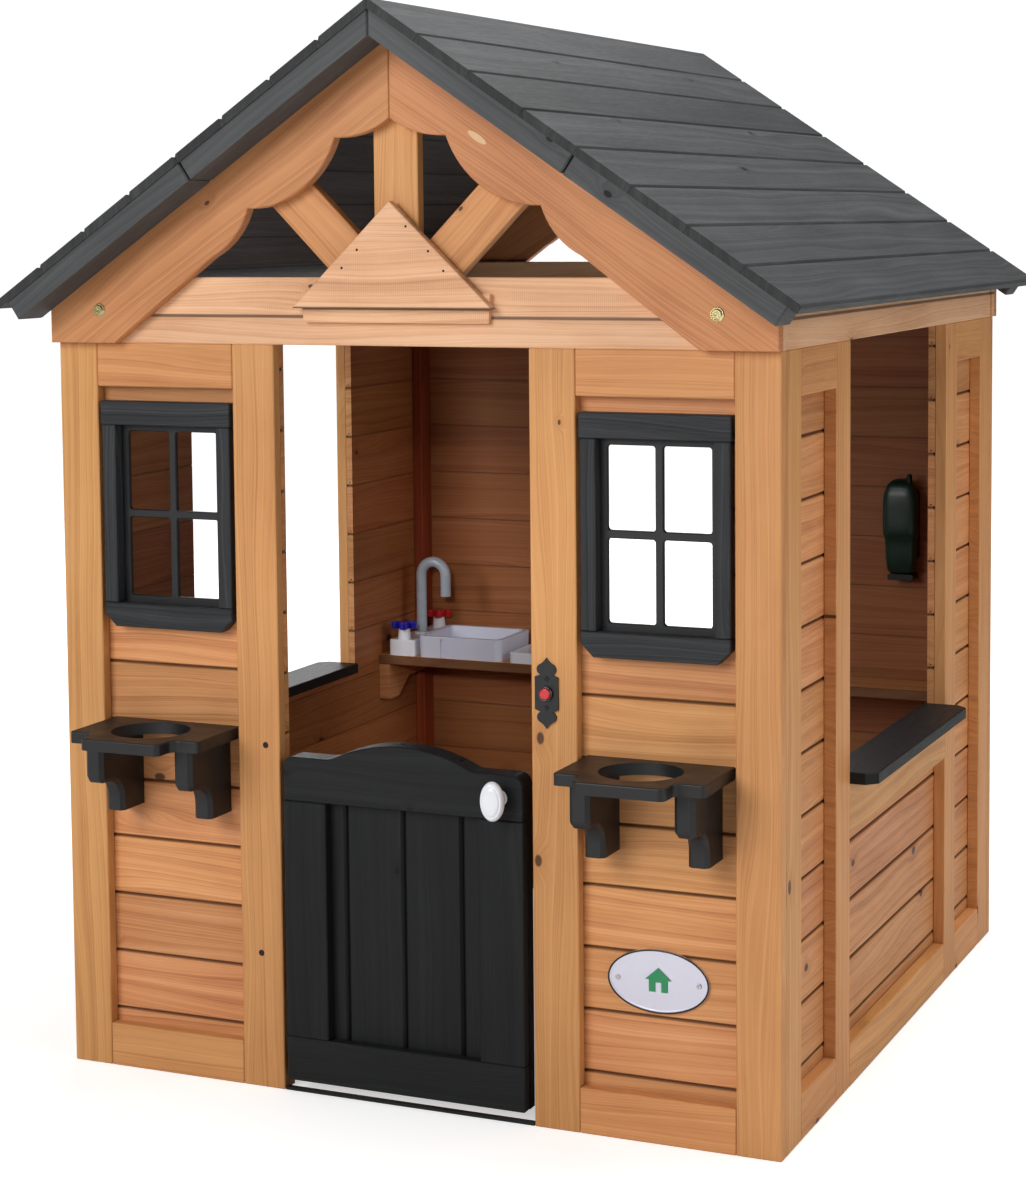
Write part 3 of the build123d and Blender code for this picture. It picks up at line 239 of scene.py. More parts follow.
def roof_slope_boards():
    """Boards along the house, counted down each slope from the ridge."""
    def build(tree):
        place = place_in_mm(tree)
        out = put(tree, "ShaderNodeMath", {0: place["X"]}, operation="ABSOLUTE")
        down = put(tree, "ShaderNodeMath", {0: out, 1: math.cos(ROOF_PITCH)}, operation="DIVIDE")
        steps = put(tree, "ShaderNodeMath", {0: down, 1: ROOF_BOARD}, operation="DIVIDE")
        number = put(tree, "ShaderNodeMath", {0: steps}, operation="FLOOR")
        right = put(tree, "ShaderNodeMath", {0: place["X"], 1: 0.0}, operation="GREATER_THAN")
        number = put(tree, "ShaderNodeMath", {0: right, 1: OTHER_SLOPE, 2: number},
                     operation="MULTIPLY_ADD")
        vector = put(tree, "ShaderNodeCombineXYZ", {0: place["Y"], 1: down, 2: place["Z"]})
        return vector, number, to_joint(tree, steps, ROOF_BOARD)
    return build


# ---- wood ----
# Western red cedar, planed and stained: even, straight growth lines, small dark knots, a soft sheen.
# Shares and spreads have no unit, knot_radius and relief are in millimetres, saw is how strongly the
# marks of the saw were left in, and gloss is the principled shader's specular level.
CEDAR = dict(light="#dea674", middle="#cb8c58", dark="#96582f", knot="#3a1c0c", line_share=0.6,
             tone=0.16, hue=0.005, knots=0.30, knot_radius=6.0, rough=(0.44, 0.6), relief=0.10,
             saw=0.0, gloss=0.35)
CEDAR_FRAME = dict(CEDAR, light="#e0a66c", middle="#d0935a", dark="#a86a38", tone=0.09, knots=0.22)
# The gable's boards and the headers are rough-sawn cedar: fine marks cross the grain. Their paler
# colour is painted light, the light from above that falls on the gable drawn into the wood.
CEDAR_GABLE_PAINTED_LIGHT = dict(CEDAR, light="#edc6a0", middle="#dfae84", dark="#b8845a", tone=0.05, knots=0.26,
                   saw=0.55)
CEDAR_RAFTER = dict(CEDAR, light="#d69967", middle="#c58654", dark="#9d6138", tone=0.05, saw=0.6)
INSIDE_PAINTED_SHADE = "#cdb7a8"    # painted shade: the inside faces drawn darker and redder, as the shade in the house falls on them
END_GRAIN = "#bdbdbd"      # what end grain keeps: it drinks more stain
# The corner posts are the same cedar in a redder stain.
CEDAR_POST = dict(CEDAR, light="#b5512a", middle="#98401f", dark="#6b2913", tone=0.06)
# Fir under an opaque black stain: the grain shows as faint relief and slightly greyer lines.
CHARCOAL = dict(light="#272829", middle="#1c1d1e", dark="#141415", knot="#0d0d0e", line_share=0.45,
                tone=0.10, hue=0.0, knots=0.25, knot_radius=5.0, rough=(0.42, 0.58), relief=0.16,
                saw=0.0, gloss=0.18)
CHARCOAL_TRIM = dict(CHARCOAL, light="#434547", middle="#303133", dark="#1b1c1d", relief=0.4,
                     line_share=0.8)
# The roof's boards are drawn greyer and paler than the other black wood: painted light, the light and
# sheen that fall on the slopes from above drawn into their colour.
CHARCOAL_ROOF_PAINTED_LIGHT = dict(CHARCOAL, light="#5d5e5f", middle="#494a4b", dark="#323334", tone=0.17,
                     knots=0.34, rough=(0.46, 0.62))
SALT_STEP = 17.3         # keeps one node's board numbers off another's
BOARD_SHIFT = (2900, 1700, 1300)    # mm that one board's pattern may lie from another's
JOINT_STAIN = 3.0        # mm from a joint where stain has gathered
STAIN_DARK = 0.78        # share of the knots' dark colour there
INSIDE_AND_END_STAIN = 0.2       # the same on the walls' inside faces with painted shade, and on the roof boards' end grain
KNOT_CELL = 115.0        # mm between the places where a knot may be
KNOT_SQUEEZE = 0.62      # makes a knot longer along the grain
NO_KNOT = 500.0          # mm, farther than any knot reaches
KNOT_BEND = 9.0          # mm that a knot pushes a growth line aside
KNOT_DARK = 0.88         # share of the knot's own colour in it
KNOT_RING = 0.32         # share of dark wood around it
BEND = 62.0              # mm that the slow bends move a growth line
BEND_LENGTH = 520        # mm of a bend along the grain
BEND_WIDTH = 75          # mm of it across
LINE_PITCH = 2.8         # mm between growth lines, coarser than the real ones so that they show
BAND_PITCH = 13.0        # mm between broad bands of growth
FIBRE = 0.9              # mm across a bundle of fibres
FIBRE_LENGTH = 34        # mm along it
BLOTCH_LENGTH = 210      # mm along a patch where more stain sank in
BLOTCH_WIDTH = 60        # mm across it
SAW_PITCH = 2.6          # mm between saw marks
BAND_SHARE, FIBRE_SHARE, BLOTCH_SHARE, SAW_SHARE = 0.5, 0.22, 0.5, 0.28    # of the wood's darkness
PALEST, DARKEST = 0.42, 0.46    # how far from the middle darkness the two ends of the colours lie
WOOD_IOR = 1.5


def wood(name, boards, look, salt, painted_shade_and_end_grain=None):
    """A stained wood whose boards lie as the given layout says. Salt gives the node its own boards.
    The last argument is a direction and a colour that multiplies the faces which look that way: painted
    shade on the walls' inside faces, and darker end grain on the roof boards' front ends."""
    material, tree = new_material(name)
    vector, number, joint = boards(tree)
    number = put(tree, "ShaderNodeMath", {0: number, 1: salt * SALT_STEP}, operation="ADD")
    dice = put(tree, "ShaderNodeTexWhiteNoise", {"W": number}, noise_dimensions="1D")
    shifted = put(tree, "ShaderNodeVectorMath", {0: dice["Color"], 1: BOARD_SHIFT, 2: vector},
                  operation="MULTIPLY_ADD")
    across = put(tree, "ShaderNodeSeparateXYZ", {0: shifted})["Y"]

    # knots, and the lines that bend around them
    squeezed = put(tree, "ShaderNodeVectorMath", {0: shifted, 1: (KNOT_SQUEEZE, 1, 1)},
                   operation="MULTIPLY")
    cells = put(tree, "ShaderNodeTexVoronoi", {"Vector": squeezed, "Scale": 1 / KNOT_CELL},
                voronoi_dimensions="2D")
    chance = put(tree, "ShaderNodeSeparateXYZ", {0: cells["Color"]})
    missing = put(tree, "ShaderNodeMath", {0: chance["X"], 1: look["knots"]}, operation="GREATER_THAN")
    reach = put(tree, "ShaderNodeMath", {0: cells["Distance"], 1: KNOT_CELL}, operation="MULTIPLY")
    reach = put(tree, "ShaderNodeMath", {0: missing, 1: NO_KNOT, 2: reach}, operation="MULTIPLY_ADD")
    size = put(tree, "ShaderNodeMapRange", {"Value": chance["Y"], "To Min": look["knot_radius"] * 0.35,
                                            "To Max": look["knot_radius"]})
    reach = put(tree, "ShaderNodeMath", {0: reach, 1: size}, operation="DIVIDE")
    knot = put(tree, "ShaderNodeMapRange", {"Value": reach, "From Min": 1.15, "From Max": 0.7},
               interpolation_type="SMOOTHSTEP")
    halo = put(tree, "ShaderNodeMapRange", {"Value": reach, "From Min": 4.5, "From Max": 0.6},
               interpolation_type="SMOOTHSTEP")

    # growth lines: the distance across the board, bent by slow waves along it
    slow = put(tree, "ShaderNodeVectorMath",
               {0: shifted, 1: (1 / BEND_LENGTH, 1 / BEND_WIDTH, 1 / BEND_WIDTH)},
               operation="MULTIPLY")
    wave = put(tree, "ShaderNodeTexNoise", {"Vector": slow, "Scale": 1.0, "Detail": 1.5})
    ring = put(tree, "ShaderNodeMath", {0: wave[0], 1: BEND, 2: across}, operation="MULTIPLY_ADD")
    ring = put(tree, "ShaderNodeMath", {0: halo, 1: KNOT_BEND, 2: ring}, operation="MULTIPLY_ADD")
    fine = put(tree, "ShaderNodeMath", {0: ring, 1: LINE_PITCH}, operation="DIVIDE")
    lines = put(tree, "ShaderNodeTexNoise", {"W": fine, "Scale": 1.0, "Detail": 2.0,
                                             "Roughness": 0.7}, noise_dimensions="1D")
    broad = put(tree, "ShaderNodeMath", {0: ring, 1: BAND_PITCH}, operation="DIVIDE")
    bands = put(tree, "ShaderNodeTexNoise", {"W": broad, "Scale": 1.0, "Detail": 1.0},
                noise_dimensions="1D")
    stretched = put(tree, "ShaderNodeVectorMath",
                    {0: shifted, 1: (1 / FIBRE_LENGTH, 1 / FIBRE, 1 / FIBRE)}, operation="MULTIPLY")
    fibre = put(tree, "ShaderNodeTexNoise", {"Vector": stretched, "Scale": 1.0, "Detail": 2.0})
    patchy = put(tree, "ShaderNodeVectorMath",
                 {0: shifted, 1: (1 / BLOTCH_LENGTH, 1 / BLOTCH_WIDTH, 1 / BLOTCH_WIDTH)},
                 operation="MULTIPLY")
    blotch = put(tree, "ShaderNodeTexNoise", {"Vector": patchy, "Scale": 1.0, "Detail": 3.0})

    # how dark the wood is, from all of these
    darkness = put(tree, "ShaderNodeMath", {0: lines[0], 1: look["line_share"]}, operation="MULTIPLY")
    darkness = put(tree, "ShaderNodeMath", {0: bands[0], 1: BAND_SHARE, 2: darkness},
                   operation="MULTIPLY_ADD")
    darkness = put(tree, "ShaderNodeMath", {0: fibre[0], 1: FIBRE_SHARE, 2: darkness},
                   operation="MULTIPLY_ADD")
    darkness = put(tree, "ShaderNodeMath", {0: blotch[0], 1: BLOTCH_SHARE, 2: darkness},
                   operation="MULTIPLY_ADD")
    centre = (look["line_share"] + BAND_SHARE + FIBRE_SHARE + BLOTCH_SHARE) / 2
    if look["saw"]:
        marks = put(tree, "ShaderNodeTexWave",
                    {"Vector": shifted, "Scale": math.pi / 10 / SAW_PITCH, "Distortion": 1.2,
                     "Detail": 1.0}, bands_direction="X")
        worn = put(tree, "ShaderNodeMapRange", {"Value": blotch[0], "From Min": 0.4, "From Max": 0.62,
                                                "To Max": look["saw"]})
        marks = put(tree, "ShaderNodeMath", {0: marks["Fac"], 1: worn}, operation="MULTIPLY")
        darkness = put(tree, "ShaderNodeMath", {0: marks, 1: SAW_SHARE, 2: darkness},
                       operation="MULTIPLY_ADD")
    level = put(tree, "ShaderNodeMapRange", {"Value": darkness, "From Min": centre - PALEST,
                                             "From Max": centre + DARKEST})
    ramp = put(tree, "ShaderNodeValToRGB", {0: level})
    stops = ramp[0].node.color_ramp.elements
    stops[0].color = linear(look["light"])
    stops[1].color = linear(look["dark"])
    stops.new(0.45).color = linear(look["middle"])

    # each board's own tone
    throws = put(tree, "ShaderNodeSeparateXYZ", {0: dice["Color"]})
    value = put(tree, "ShaderNodeMapRange", {"Value": throws["X"], "To Min": 1 - look["tone"],
                                             "To Max": 1 + look["tone"]})
    hue = put(tree, "ShaderNodeMapRange", {"Value": throws["Y"], "To Min": 0.5 - look["hue"],
                                           "To Max": 0.5 + look["hue"]})
    colour = put(tree, "ShaderNodeHueSaturation", {"Color": ramp, "Value": value, "Hue": hue})
    glow = put(tree, "ShaderNodeMath", {0: halo, 1: KNOT_RING}, operation="MULTIPLY")
    colour = put(tree, "ShaderNodeMix", {0: glow, 6: colour, 7: linear(look["dark"])},
                 data_type="RGBA")[2]
    knot_share = put(tree, "ShaderNodeMath", {0: knot, 1: KNOT_DARK}, operation="MULTIPLY")
    colour = put(tree, "ShaderNodeMix", {0: knot_share, 6: colour, 7: linear(look["knot"])},
                 data_type="RGBA")[2]

    # painted shade on the walls' inside faces, darker end grain on the roof boards' front ends, and the
    # stain that gathers along a joint
    coat = 0.0
    if painted_shade_and_end_grain:
        direction, kept = painted_shade_and_end_grain
        normal = put(tree, "ShaderNodeTexCoord")["Normal"]
        facing = put(tree, "ShaderNodeVectorMath", {0: normal, 1: direction},
                     operation="DOT_PRODUCT")["Value"]
        coat = put(tree, "ShaderNodeMapRange", {"Value": facing, "From Min": 0.4, "From Max": 0.6})
        colour = put(tree, "ShaderNodeMix", {0: coat, 6: colour, 7: linear(kept)},
                     data_type="RGBA", blend_type="MULTIPLY")[2]
    if joint is not None:
        most = put(tree, "ShaderNodeMapRange", {"Value": coat, "To Min": STAIN_DARK,
                                                "To Max": INSIDE_AND_END_STAIN})
        pooled = put(tree, "ShaderNodeMapRange", {"Value": joint, "From Min": JOINT_STAIN,
                                                  "From Max": 1.0, "To Max": most},
                     interpolation_type="SMOOTHSTEP")
        colour = put(tree, "ShaderNodeMix", {0: pooled, 6: colour, 7: linear(look["knot"])},
                     data_type="RGBA")[2]

    # sheen and relief
    rough = put(tree, "ShaderNodeMapRange", {"Value": fibre[0], "From Min": 0.3, "From Max": 0.7,
                                             "To Min": look["rough"][0], "To Max": look["rough"][1]})
    height = put(tree, "ShaderNodeMath", {0: lines[0], 1: 0.6}, operation="MULTIPLY")
    height = put(tree, "ShaderNodeMath", {0: fibre[0], 1: 0.6, 2: height}, operation="MULTIPLY_ADD")
    if look["saw"]:
        height = put(tree, "ShaderNodeMath", {0: marks, 1: 0.9, 2: height}, operation="MULTIPLY_ADD")
    bump = put(tree, "ShaderNodeBump", {"Height": height, "Strength": 0.7,
                                        "Distance": look["relief"] * MM * 2})
    close_shader(tree, {"Base Color": colour, "Roughness": rough, "Normal": bump, "IOR": WOOD_IOR,
                        "Specular IOR Level": look["gloss"]})
    return material


# ---- plastics and metals ----
FLOW_MARK = 38           # mm across the faint clouds that the flowing melt leaves
RESIN_IOR = 1.49


def plastic(name, colour, rough, grain_mm=0.5, relief_mm=0.02, coat=0.0, mottle=0.04):
    """Injection-moulded plastic: one colour, faint flow marks, and a fine moulded grain. A coat is
    a smooth glossy layer on top, and mottle is how far the flow marks change the colour."""
    material, tree = new_material(name)
    spot = put(tree, "ShaderNodeTexCoord")["Object"]
    flow = put(tree, "ShaderNodeTexNoise", {"Vector": spot, "Scale": 1 / (FLOW_MARK * MM),
                                            "Detail": 2.0})
    shade = put(tree, "ShaderNodeMapRange", {"Value": flow[0], "To Min": 1 - mottle * 2,
                                             "To Max": 1 + mottle * 2})
    tint = put(tree, "ShaderNodeHueSaturation", {"Color": linear(colour), "Value": shade})
    grain = put(tree, "ShaderNodeTexNoise", {"Vector": spot, "Scale": 1 / (grain_mm * MM),
                                             "Detail": 2.0})
    worn = put(tree, "ShaderNodeMapRange", {"Value": flow[0], "From Min": 0.3, "From Max": 0.7,
                                            "To Min": rough - 0.05, "To Max": rough + 0.07})
    bump = put(tree, "ShaderNodeBump", {"Height": grain[0], "Strength": 0.6,
                                        "Distance": relief_mm * MM})
    close_shader(tree, {"Base Color": tint, "Roughness": worn, "Normal": bump, "IOR": RESIN_IOR,
                        "Coat Weight": coat, "Coat Roughness": 0.08})
    return material


def metal(name, colour, rough, stretch=(1, 1, 1), grain_mm=0.4, relief_mm=0.01):
    """A bare or plated metal: brushed along the axis that the stretch leaves long."""
    material, tree = new_material(name)
    spot = put(tree, "ShaderNodeTexCoord")["Object"]
    drawn = put(tree, "ShaderNodeVectorMath", {0: spot, 1: stretch}, operation="MULTIPLY")
    brush = put(tree, "ShaderNodeTexNoise", {"Vector": drawn, "Scale": 1 / (grain_mm * MM),
                                             "Detail": 2.0})
    worn = put(tree, "ShaderNodeMapRange", {"Value": brush[0], "From Min": 0.3, "From Max": 0.7,
                                            "To Min": rough - 0.07, "To Max": rough + 0.09})
    shade = put(tree, "ShaderNodeMapRange", {"Value": brush[0], "To Min": 0.88, "To Max": 1.1})
    tint = put(tree, "ShaderNodeHueSaturation", {"Color": linear(colour), "Value": shade})
    bump = put(tree, "ShaderNodeBump", {"Height": brush[0], "Strength": 0.5,
                                        "Distance": relief_mm * MM})
    close_shader(tree, {"Base Color": tint, "Metallic": 1.0, "Roughness": worn, "Normal": bump})
    return material


def finish_node(node, material):
    """Gives a CAD node its material in every slot."""
    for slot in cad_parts[node].material_slots:
        slot.material = material


# ---- the house's own boards ----
half_width = (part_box("front_right_frame")[1].x) / MM
door_half = (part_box("front_right_frame")[0].x) / MM
panel_middle = (door_half + STILE + half_width - CORNER_STILE) / 2
recess = (half_width - CORNER_STILE) - (door_half + STILE)
front_dividers = (-panel_middle, 0.0, panel_middle)
front_rails = [(side * panel_middle - recess / 2, side * panel_middle + recess / 2)
               for side in (-1, 1)]

side_low, side_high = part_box("right_wall_frames")
side_middle = (side_low.y + side_high.y) / 2 / MM
opening_low, opening_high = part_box("right_counter")
panel_starts = (side_low.y / MM, opening_high.y / MM)
panel_ends = (opening_low.y / MM, side_high.y / MM)
side_panels = list(zip(panel_starts, panel_ends))
side_dividers = [side_middle] + [(start + end) / 2 for start, end in side_panels]
side_rails = [(start + STILE, end - STILE) for start, end in side_panels]

front_frame = framed_boards("X", front_dividers, front_rails)
side_frame = framed_boards("Y", side_dividers, side_rails)
level_x = laid_boards("X", "Z", FIRST_JOINT, COURSE)
level_y = laid_boards("Y", "Z", FIRST_JOINT, COURSE)
# Known fault: the band that ends at 1000 mm draws a joint on the gable ties and the headers.
bands_x = laid_boards("X", "Z", BAND, BAND)
bands_y = laid_boards("Y", "Z", BAND, BAND)
rafter_grain = sloped_boards(ROOF_PITCH, PAST_THE_FOOT)
batten_grain = sloped_boards(ROOF_PITCH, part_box("roof_right_battens")[1].x / MM / 2)
door_low, door_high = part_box("door_frame")
door_leaf = leaf_boards((door_high.z) / MM - DOOR_ARCH - DOOR_RAIL, (door_low.z) / MM + DOOR_RAIL)
window_low, window_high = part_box("right_window_trim")
trim_boards = leaf_boards(window_high.z / MM - TRIM_RAIL, window_low.z / MM + TRIM_RAIL)

# node, material, layout, look
wooden = [
    ("front_left_frame", "cedar_front_frame_left", front_frame, CEDAR_FRAME),
    ("front_right_frame", "cedar_front_frame_right", front_frame, CEDAR_FRAME),
    ("front_left_siding", "cedar_front_siding_left", level_x, CEDAR),
    ("front_right_siding", "cedar_front_siding_right", level_x, CEDAR),
    ("left_wall_frames", "cedar_side_frame_left", side_frame, CEDAR_FRAME),
    ("right_wall_frames", "cedar_side_frame_right", side_frame, CEDAR_FRAME),
    ("left_wall_siding", "cedar_side_siding_left", level_y, CEDAR),
    ("right_wall_siding", "cedar_side_siding_right", level_y, CEDAR),
    ("left_half_wall_rails", "cedar_half_wall_left", bands_y, CEDAR_FRAME),
    ("right_half_wall_rails", "cedar_half_wall_right", bands_y, CEDAR_FRAME),
    ("side_headers", "cedar_headers", bands_y, CEDAR_GABLE_PAINTED_LIGHT),
    ("back_wall_frames", "cedar_back_frame", front_frame, CEDAR_FRAME),
    ("back_wall_siding", "cedar_back_siding", level_x, CEDAR),
    ("back_half_wall_rails", "cedar_half_wall_back", bands_x, CEDAR_FRAME),
    ("corner_posts", "cedar_corner_posts", laid_boards("Z", "X", -OUT_OF_REACH, POST_PITCH),
     CEDAR_POST),
    ("front_gable_tie", "cedar_gable_tie", bands_x, CEDAR_GABLE_PAINTED_LIGHT),
    ("back_gable_tie", "cedar_back_gable_tie", bands_x, CEDAR_GABLE_PAINTED_LIGHT),
    ("front_gable_rafters", "cedar_rafters", rafter_grain, CEDAR_RAFTER),
    ("back_gable_rafters", "cedar_back_rafters", rafter_grain, CEDAR_RAFTER),
    ("front_gable_spokes", "cedar_spokes", spoke_boards(SPOKE_HALF), CEDAR_FRAME),
    ("front_gable_plate", "cedar_gable_plate", laid_boards("X", "Z", PLATE_SEAM, WHOLE), CEDAR_GABLE_PAINTED_LIGHT),
    ("kitchen_shelf", "cedar_kitchen_shelf", laid_boards("X", "Y", SHELF_FRONT, SHELF_PLANK), CEDAR),
    ("shelf_brackets", "cedar_shelf_brackets", laid_boards("Y", "Z", 0.0, WHOLE), CEDAR),
    ("left_counter", "black_counter_left", laid_boards("Y", "X", -OUT_OF_REACH, WHOLE), CHARCOAL),
    ("right_counter", "black_counter_right", laid_boards("Y", "X", COUNTER_FROM, WHOLE), CHARCOAL),
    ("left_window_trim", "black_window_trim_left", trim_boards, CHARCOAL_TRIM),
    ("right_window_trim", "black_window_trim_right", trim_boards, CHARCOAL_TRIM),
    ("roof_left_boards", "black_roof_left", roof_slope_boards(), CHARCOAL_ROOF_PAINTED_LIGHT),
    ("roof_right_boards", "black_roof_right", roof_slope_boards(), CHARCOAL_ROOF_PAINTED_LIGHT),
    ("roof_left_battens", "black_battens_left", batten_grain, CHARCOAL_ROOF_PAINTED_LIGHT),
    ("roof_right_battens", "black_battens_right", batten_grain, CHARCOAL_ROOF_PAINTED_LIGHT),
    ("door_frame", "black_door_frame", door_leaf, CHARCOAL),
    ("door_boards", "black_door_boards", laid_boards("Z", "X", DOOR_BOARD_EDGE, DOOR_BOARD),
     CHARCOAL),
]
# the direction in which a wall's boards look into the house
faces_in = {"left_wall_siding": (1, 0, 0), "right_wall_siding": (-1, 0, 0),
            "left_half_wall_rails": (1, 0, 0), "right_half_wall_rails": (-1, 0, 0),
            "back_wall_siding": (0, -1, 0), "back_half_wall_rails": (0, -1, 0),
            "front_left_siding": (0, 1, 0), "front_right_siding": (0, 1, 0)}
# the walls' inside faces get painted shade, and the roof boards' front ends their darker end grain
painted_shade_and_end_grains = {node: (direction, INSIDE_PAINTED_SHADE) for node, direction in faces_in.items()}
painted_shade_and_end_grains |= {node: ((0, -1, 0), END_GRAIN) for node in ("roof_left_boards", "roof_right_boards")}
for order, (node, name, boards, look) in enumerate(wooden):
    finish_node(node, wood(name, boards, look, order + 1, painted_shade_and_end_grains.get(node)))

# ---- moulded and metal fittings ----
# These are small, so their moulded or brushed grain is drawn coarser than the real one.
# Polypropylene, black all through, moulded with a leathery grain: a dull grey sheen.
black_resin = plastic("moulded_black_resin", "#141415", 0.46, grain_mm=0.8, relief_mm=0.05)
# Glossy white ABS: a clean highlight on a faintly blue white.
white_resin = plastic("moulded_white_resin", "#e9eaf0", 0.22, coat=0.4, mottle=0.01)
# Lavender-grey polypropylene, satin: broad soft highlights.
grey_resin = plastic("moulded_lavender_grey_resin", "#d2d3e3", 0.34, mottle=0.02)
# Polished ABS: a deep colour under a sharp highlight.
blue_resin = plastic("moulded_blue_resin", "#1b1a9e", 0.2, coat=0.6)
red_resin = plastic("moulded_red_resin", "#c01a24", 0.2, coat=0.6)
# Dark green ABS: nearly black, and green where the light falls on it.
green_resin = plastic("moulded_dark_green_resin", "#0d2f21", 0.36, coat=0.1, mottle=0.06)
# ABS in a grey metallic paint: cool and glossy, without the contrast of real chrome.
silver_resin = plastic("metallised_spout_resin", "#aab2bc", 0.25, coat=0.3, mottle=0.02)
# Steel under a black powder coat: a fine pebbled half-matt black.
black_iron = plastic("powder_coated_black_steel", "#131415", 0.4, grain_mm=0.35, relief_mm=0.04)
# Zinc-plated steel: pale grey, with a blurred shine.
zinc = metal("zinc_plated_steel", "#c4c5c6", 0.34)
# Polished brass: pale yellow, with a clear shine.
brass = metal("polished_brass", "#e8d7a0", 0.22)
# Aluminium plate, brushed along its length: fine level streaks in a soft shine.
silver = metal("brushed_silver_plate", "#e6e5f3", 0.4, stretch=(0.06, 1, 1))
# Dark chrome: a thin bright line around the button.
chrome = metal("chromed_bezel", "#6f7174", 0.24)
# Blackened nail steel, matt and nearly black, which also fills the screw holes. On the nail heads the
# black is partly their steel and partly painted shade; in the doorpost's screw holes the dark dot is
# painted shade.
nail_steel_and_hole_shade = plastic("nail_steel_and_painted_hole_shade", "#0b0806", 0.7, grain_mm=0.3, relief_mm=0.03)
# Enamel paint: an even colour with a soft gloss.
green_enamel = plastic("green_enamel_ornament", "#1d8a55", 0.32, grain_mm=0.3, coat=0.3)
black_enamel = plastic("black_enamel_rim", "#17181a", 0.3, grain_mm=0.3)
# Wood filler: pale, chalky and uneven.
filler = plastic("pale_wood_filler", "#d9b48c", 0.7, grain_mm=0.6, relief_mm=0.08, mottle=0.1)
for node, material in {
        "left_window_grid": black_resin, "right_window_grid": black_resin,
        "left_pot_shelf": black_resin, "right_pot_shelf": black_resin,
        "left_pot_brackets": black_resin, "right_pot_brackets": black_resin,
        "phone_cradle": black_resin, "door_threshold": black_iron, "doorbell_plate": black_iron,
        "doorbell_screws": black_iron, "door_knob": white_resin, "faucet_deck": white_resin,
        "hob": white_resin, "sink_basin": grey_resin, "hob_knob": grey_resin,
        "faucet_spout": silver_resin, "cold_handle": blue_resin, "hot_handle": red_resin,
        "doorbell_button": red_resin, "phone_handset": green_resin, "name_plate": silver,
        "name_plate_screws": zinc, "door_hinge_leaves": zinc, "post_hinge_leaves": zinc,
        "hinge_pins": zinc, "gable_bolts": brass}.items():
    finish_node(node, material)


# ---- pieces with a finer shape than the frame's ----
EDGE_SHARE = 0.3         # of a flat piece's thickness that its edges are bevelled by


def piece_of(name, shape, material):
    """The object that a finished bmesh becomes."""
    mesh = bpy.data.meshes.new(name)
    shape.to_mesh(mesh)
    shape.free()
    mesh.materials.append(material)
    piece = bpy.data.objects.new(name, mesh)
    bpy.context.scene.collection.objects.link(piece)
    return piece


def ringed(name, rings, material, body, sides=40, closed=True, rounds=1):
    """A smooth mesh through rings, each a function from an angle to a point in millimetres. Closed
    fills the first and the last ring, and open joins them. Rounds is how often it is subdivided."""
    shape = bmesh.new()
    angles = [2 * math.pi * i / sides for i in range(sides)]
    rows = [[shape.verts.new(Vector(ring(angle)) * MM) for angle in angles] for ring in rings]
    for low, high in zip(rows, rows[1:] + rows[:1] * (not closed)):
        for i in range(sides):
            shape.faces.new((low[i], low[(i + 1) % sides], high[(i + 1) % sides], high[i]))
    if closed:
        for row in (rows[0], rows[-1]):
            shape.faces.new(row)
    bmesh.ops.recalc_face_normals(shape, faces=shape.faces)
    piece = piece_of(name, shape, material)
    piece.data.shade_smooth()
    if rounds:
        finer = piece.modifiers.new("finer", "SUBSURF")
        finer.levels = finer.render_levels = rounds
    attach(piece, body)
    return piece


def outline_plate(name, corners, face, thick, material, body):
    """A flat piece of an even thickness on a face, with the given outline and bevelled edges."""
    shape = bmesh.new()
    first = shape.faces.new([shape.verts.new(Vector((x, face, z)) * MM) for x, z in corners])
    grown = bmesh.ops.extrude_face_region(shape, geom=[first])["geom"]
    moved = [corner for corner in grown if isinstance(corner, bmesh.types.BMVert)]
    bmesh.ops.translate(shape, verts=moved, vec=Vector((0, -thick, 0)) * MM)
    bmesh.ops.recalc_face_normals(shape, faces=shape.faces)
    bmesh.ops.bevel(shape, geom=list(shape.edges), offset=thick * EDGE_SHARE * MM, segments=1,
                    affect="EDGES", clamp_overlap=True)
    piece = piece_of(name, shape, material)
    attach(piece, body)
    return piece


def in_mm(node):
    """A node's lowest and highest corners, in millimetres."""
    low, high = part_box(node)
    return low / MM, high / MM


def seen_from_the_front(node):
    """The middle, the half width and the half height of a node, in millimetres."""
    low, high = in_mm(node)
    return (low.x + high.x) / 2, (low.z + high.z) / 2, (high.x - low.x) / 2, (high.z - low.z) / 2


def flat_oval(x, y, z, half_x, half_z, turn=0.0):
    """A ring that stands in the front wall's plane, turned about the way out of it."""
    def ring(angle):
        across, up = half_x * math.cos(angle), half_z * math.sin(angle)
        return (x + across * math.cos(turn) - up * math.sin(turn), y,
                z + across * math.sin(turn) + up * math.cos(turn))
    return ring


# The door's knob: a flared foot, a neck, and an oval cap with a ring sunk into its face.
# Foot and neck: how far out, half the width, half the height. Cap: how far back from its face, and
# the share of the knob's own width and height.
knob_foot = [(0, 10.5, 10.5), (1.2, 10.9, 10.9), (3, 9.4, 9.4), (6, 7.4, 7.4), (12, 7, 7), (15, 8, 9.5)]
knob_cap = [(13.6, 0.7), (12.6, 0.92), (10.4, 0.995), (7.4, 1.0), (4.4, 0.95), (2.8, 0.86),
            (2.3, 0.80), (2.7, 0.765), (2.4, 0.73), (1.0, 0.68), (0.4, 0.5), (0.2, 0.25), (0.1, 0.04)]
knob_low, knob_high = in_mm("door_knob")
knob_x, knob_z, knob_half_x, knob_half_z = seen_from_the_front("door_knob")
knob_reach = knob_high.y - knob_low.y
knob_sections = knob_foot + [(knob_reach - back, knob_half_x * share, knob_half_z * share)
                             for back, share in knob_cap]
knob = ringed("oval_door_knob", [flat_oval(knob_x, knob_high.y - out, knob_z, half_x, half_z)
                                 for out, half_x, half_z in knob_sections], white_resin, "door")
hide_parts("door_knob")

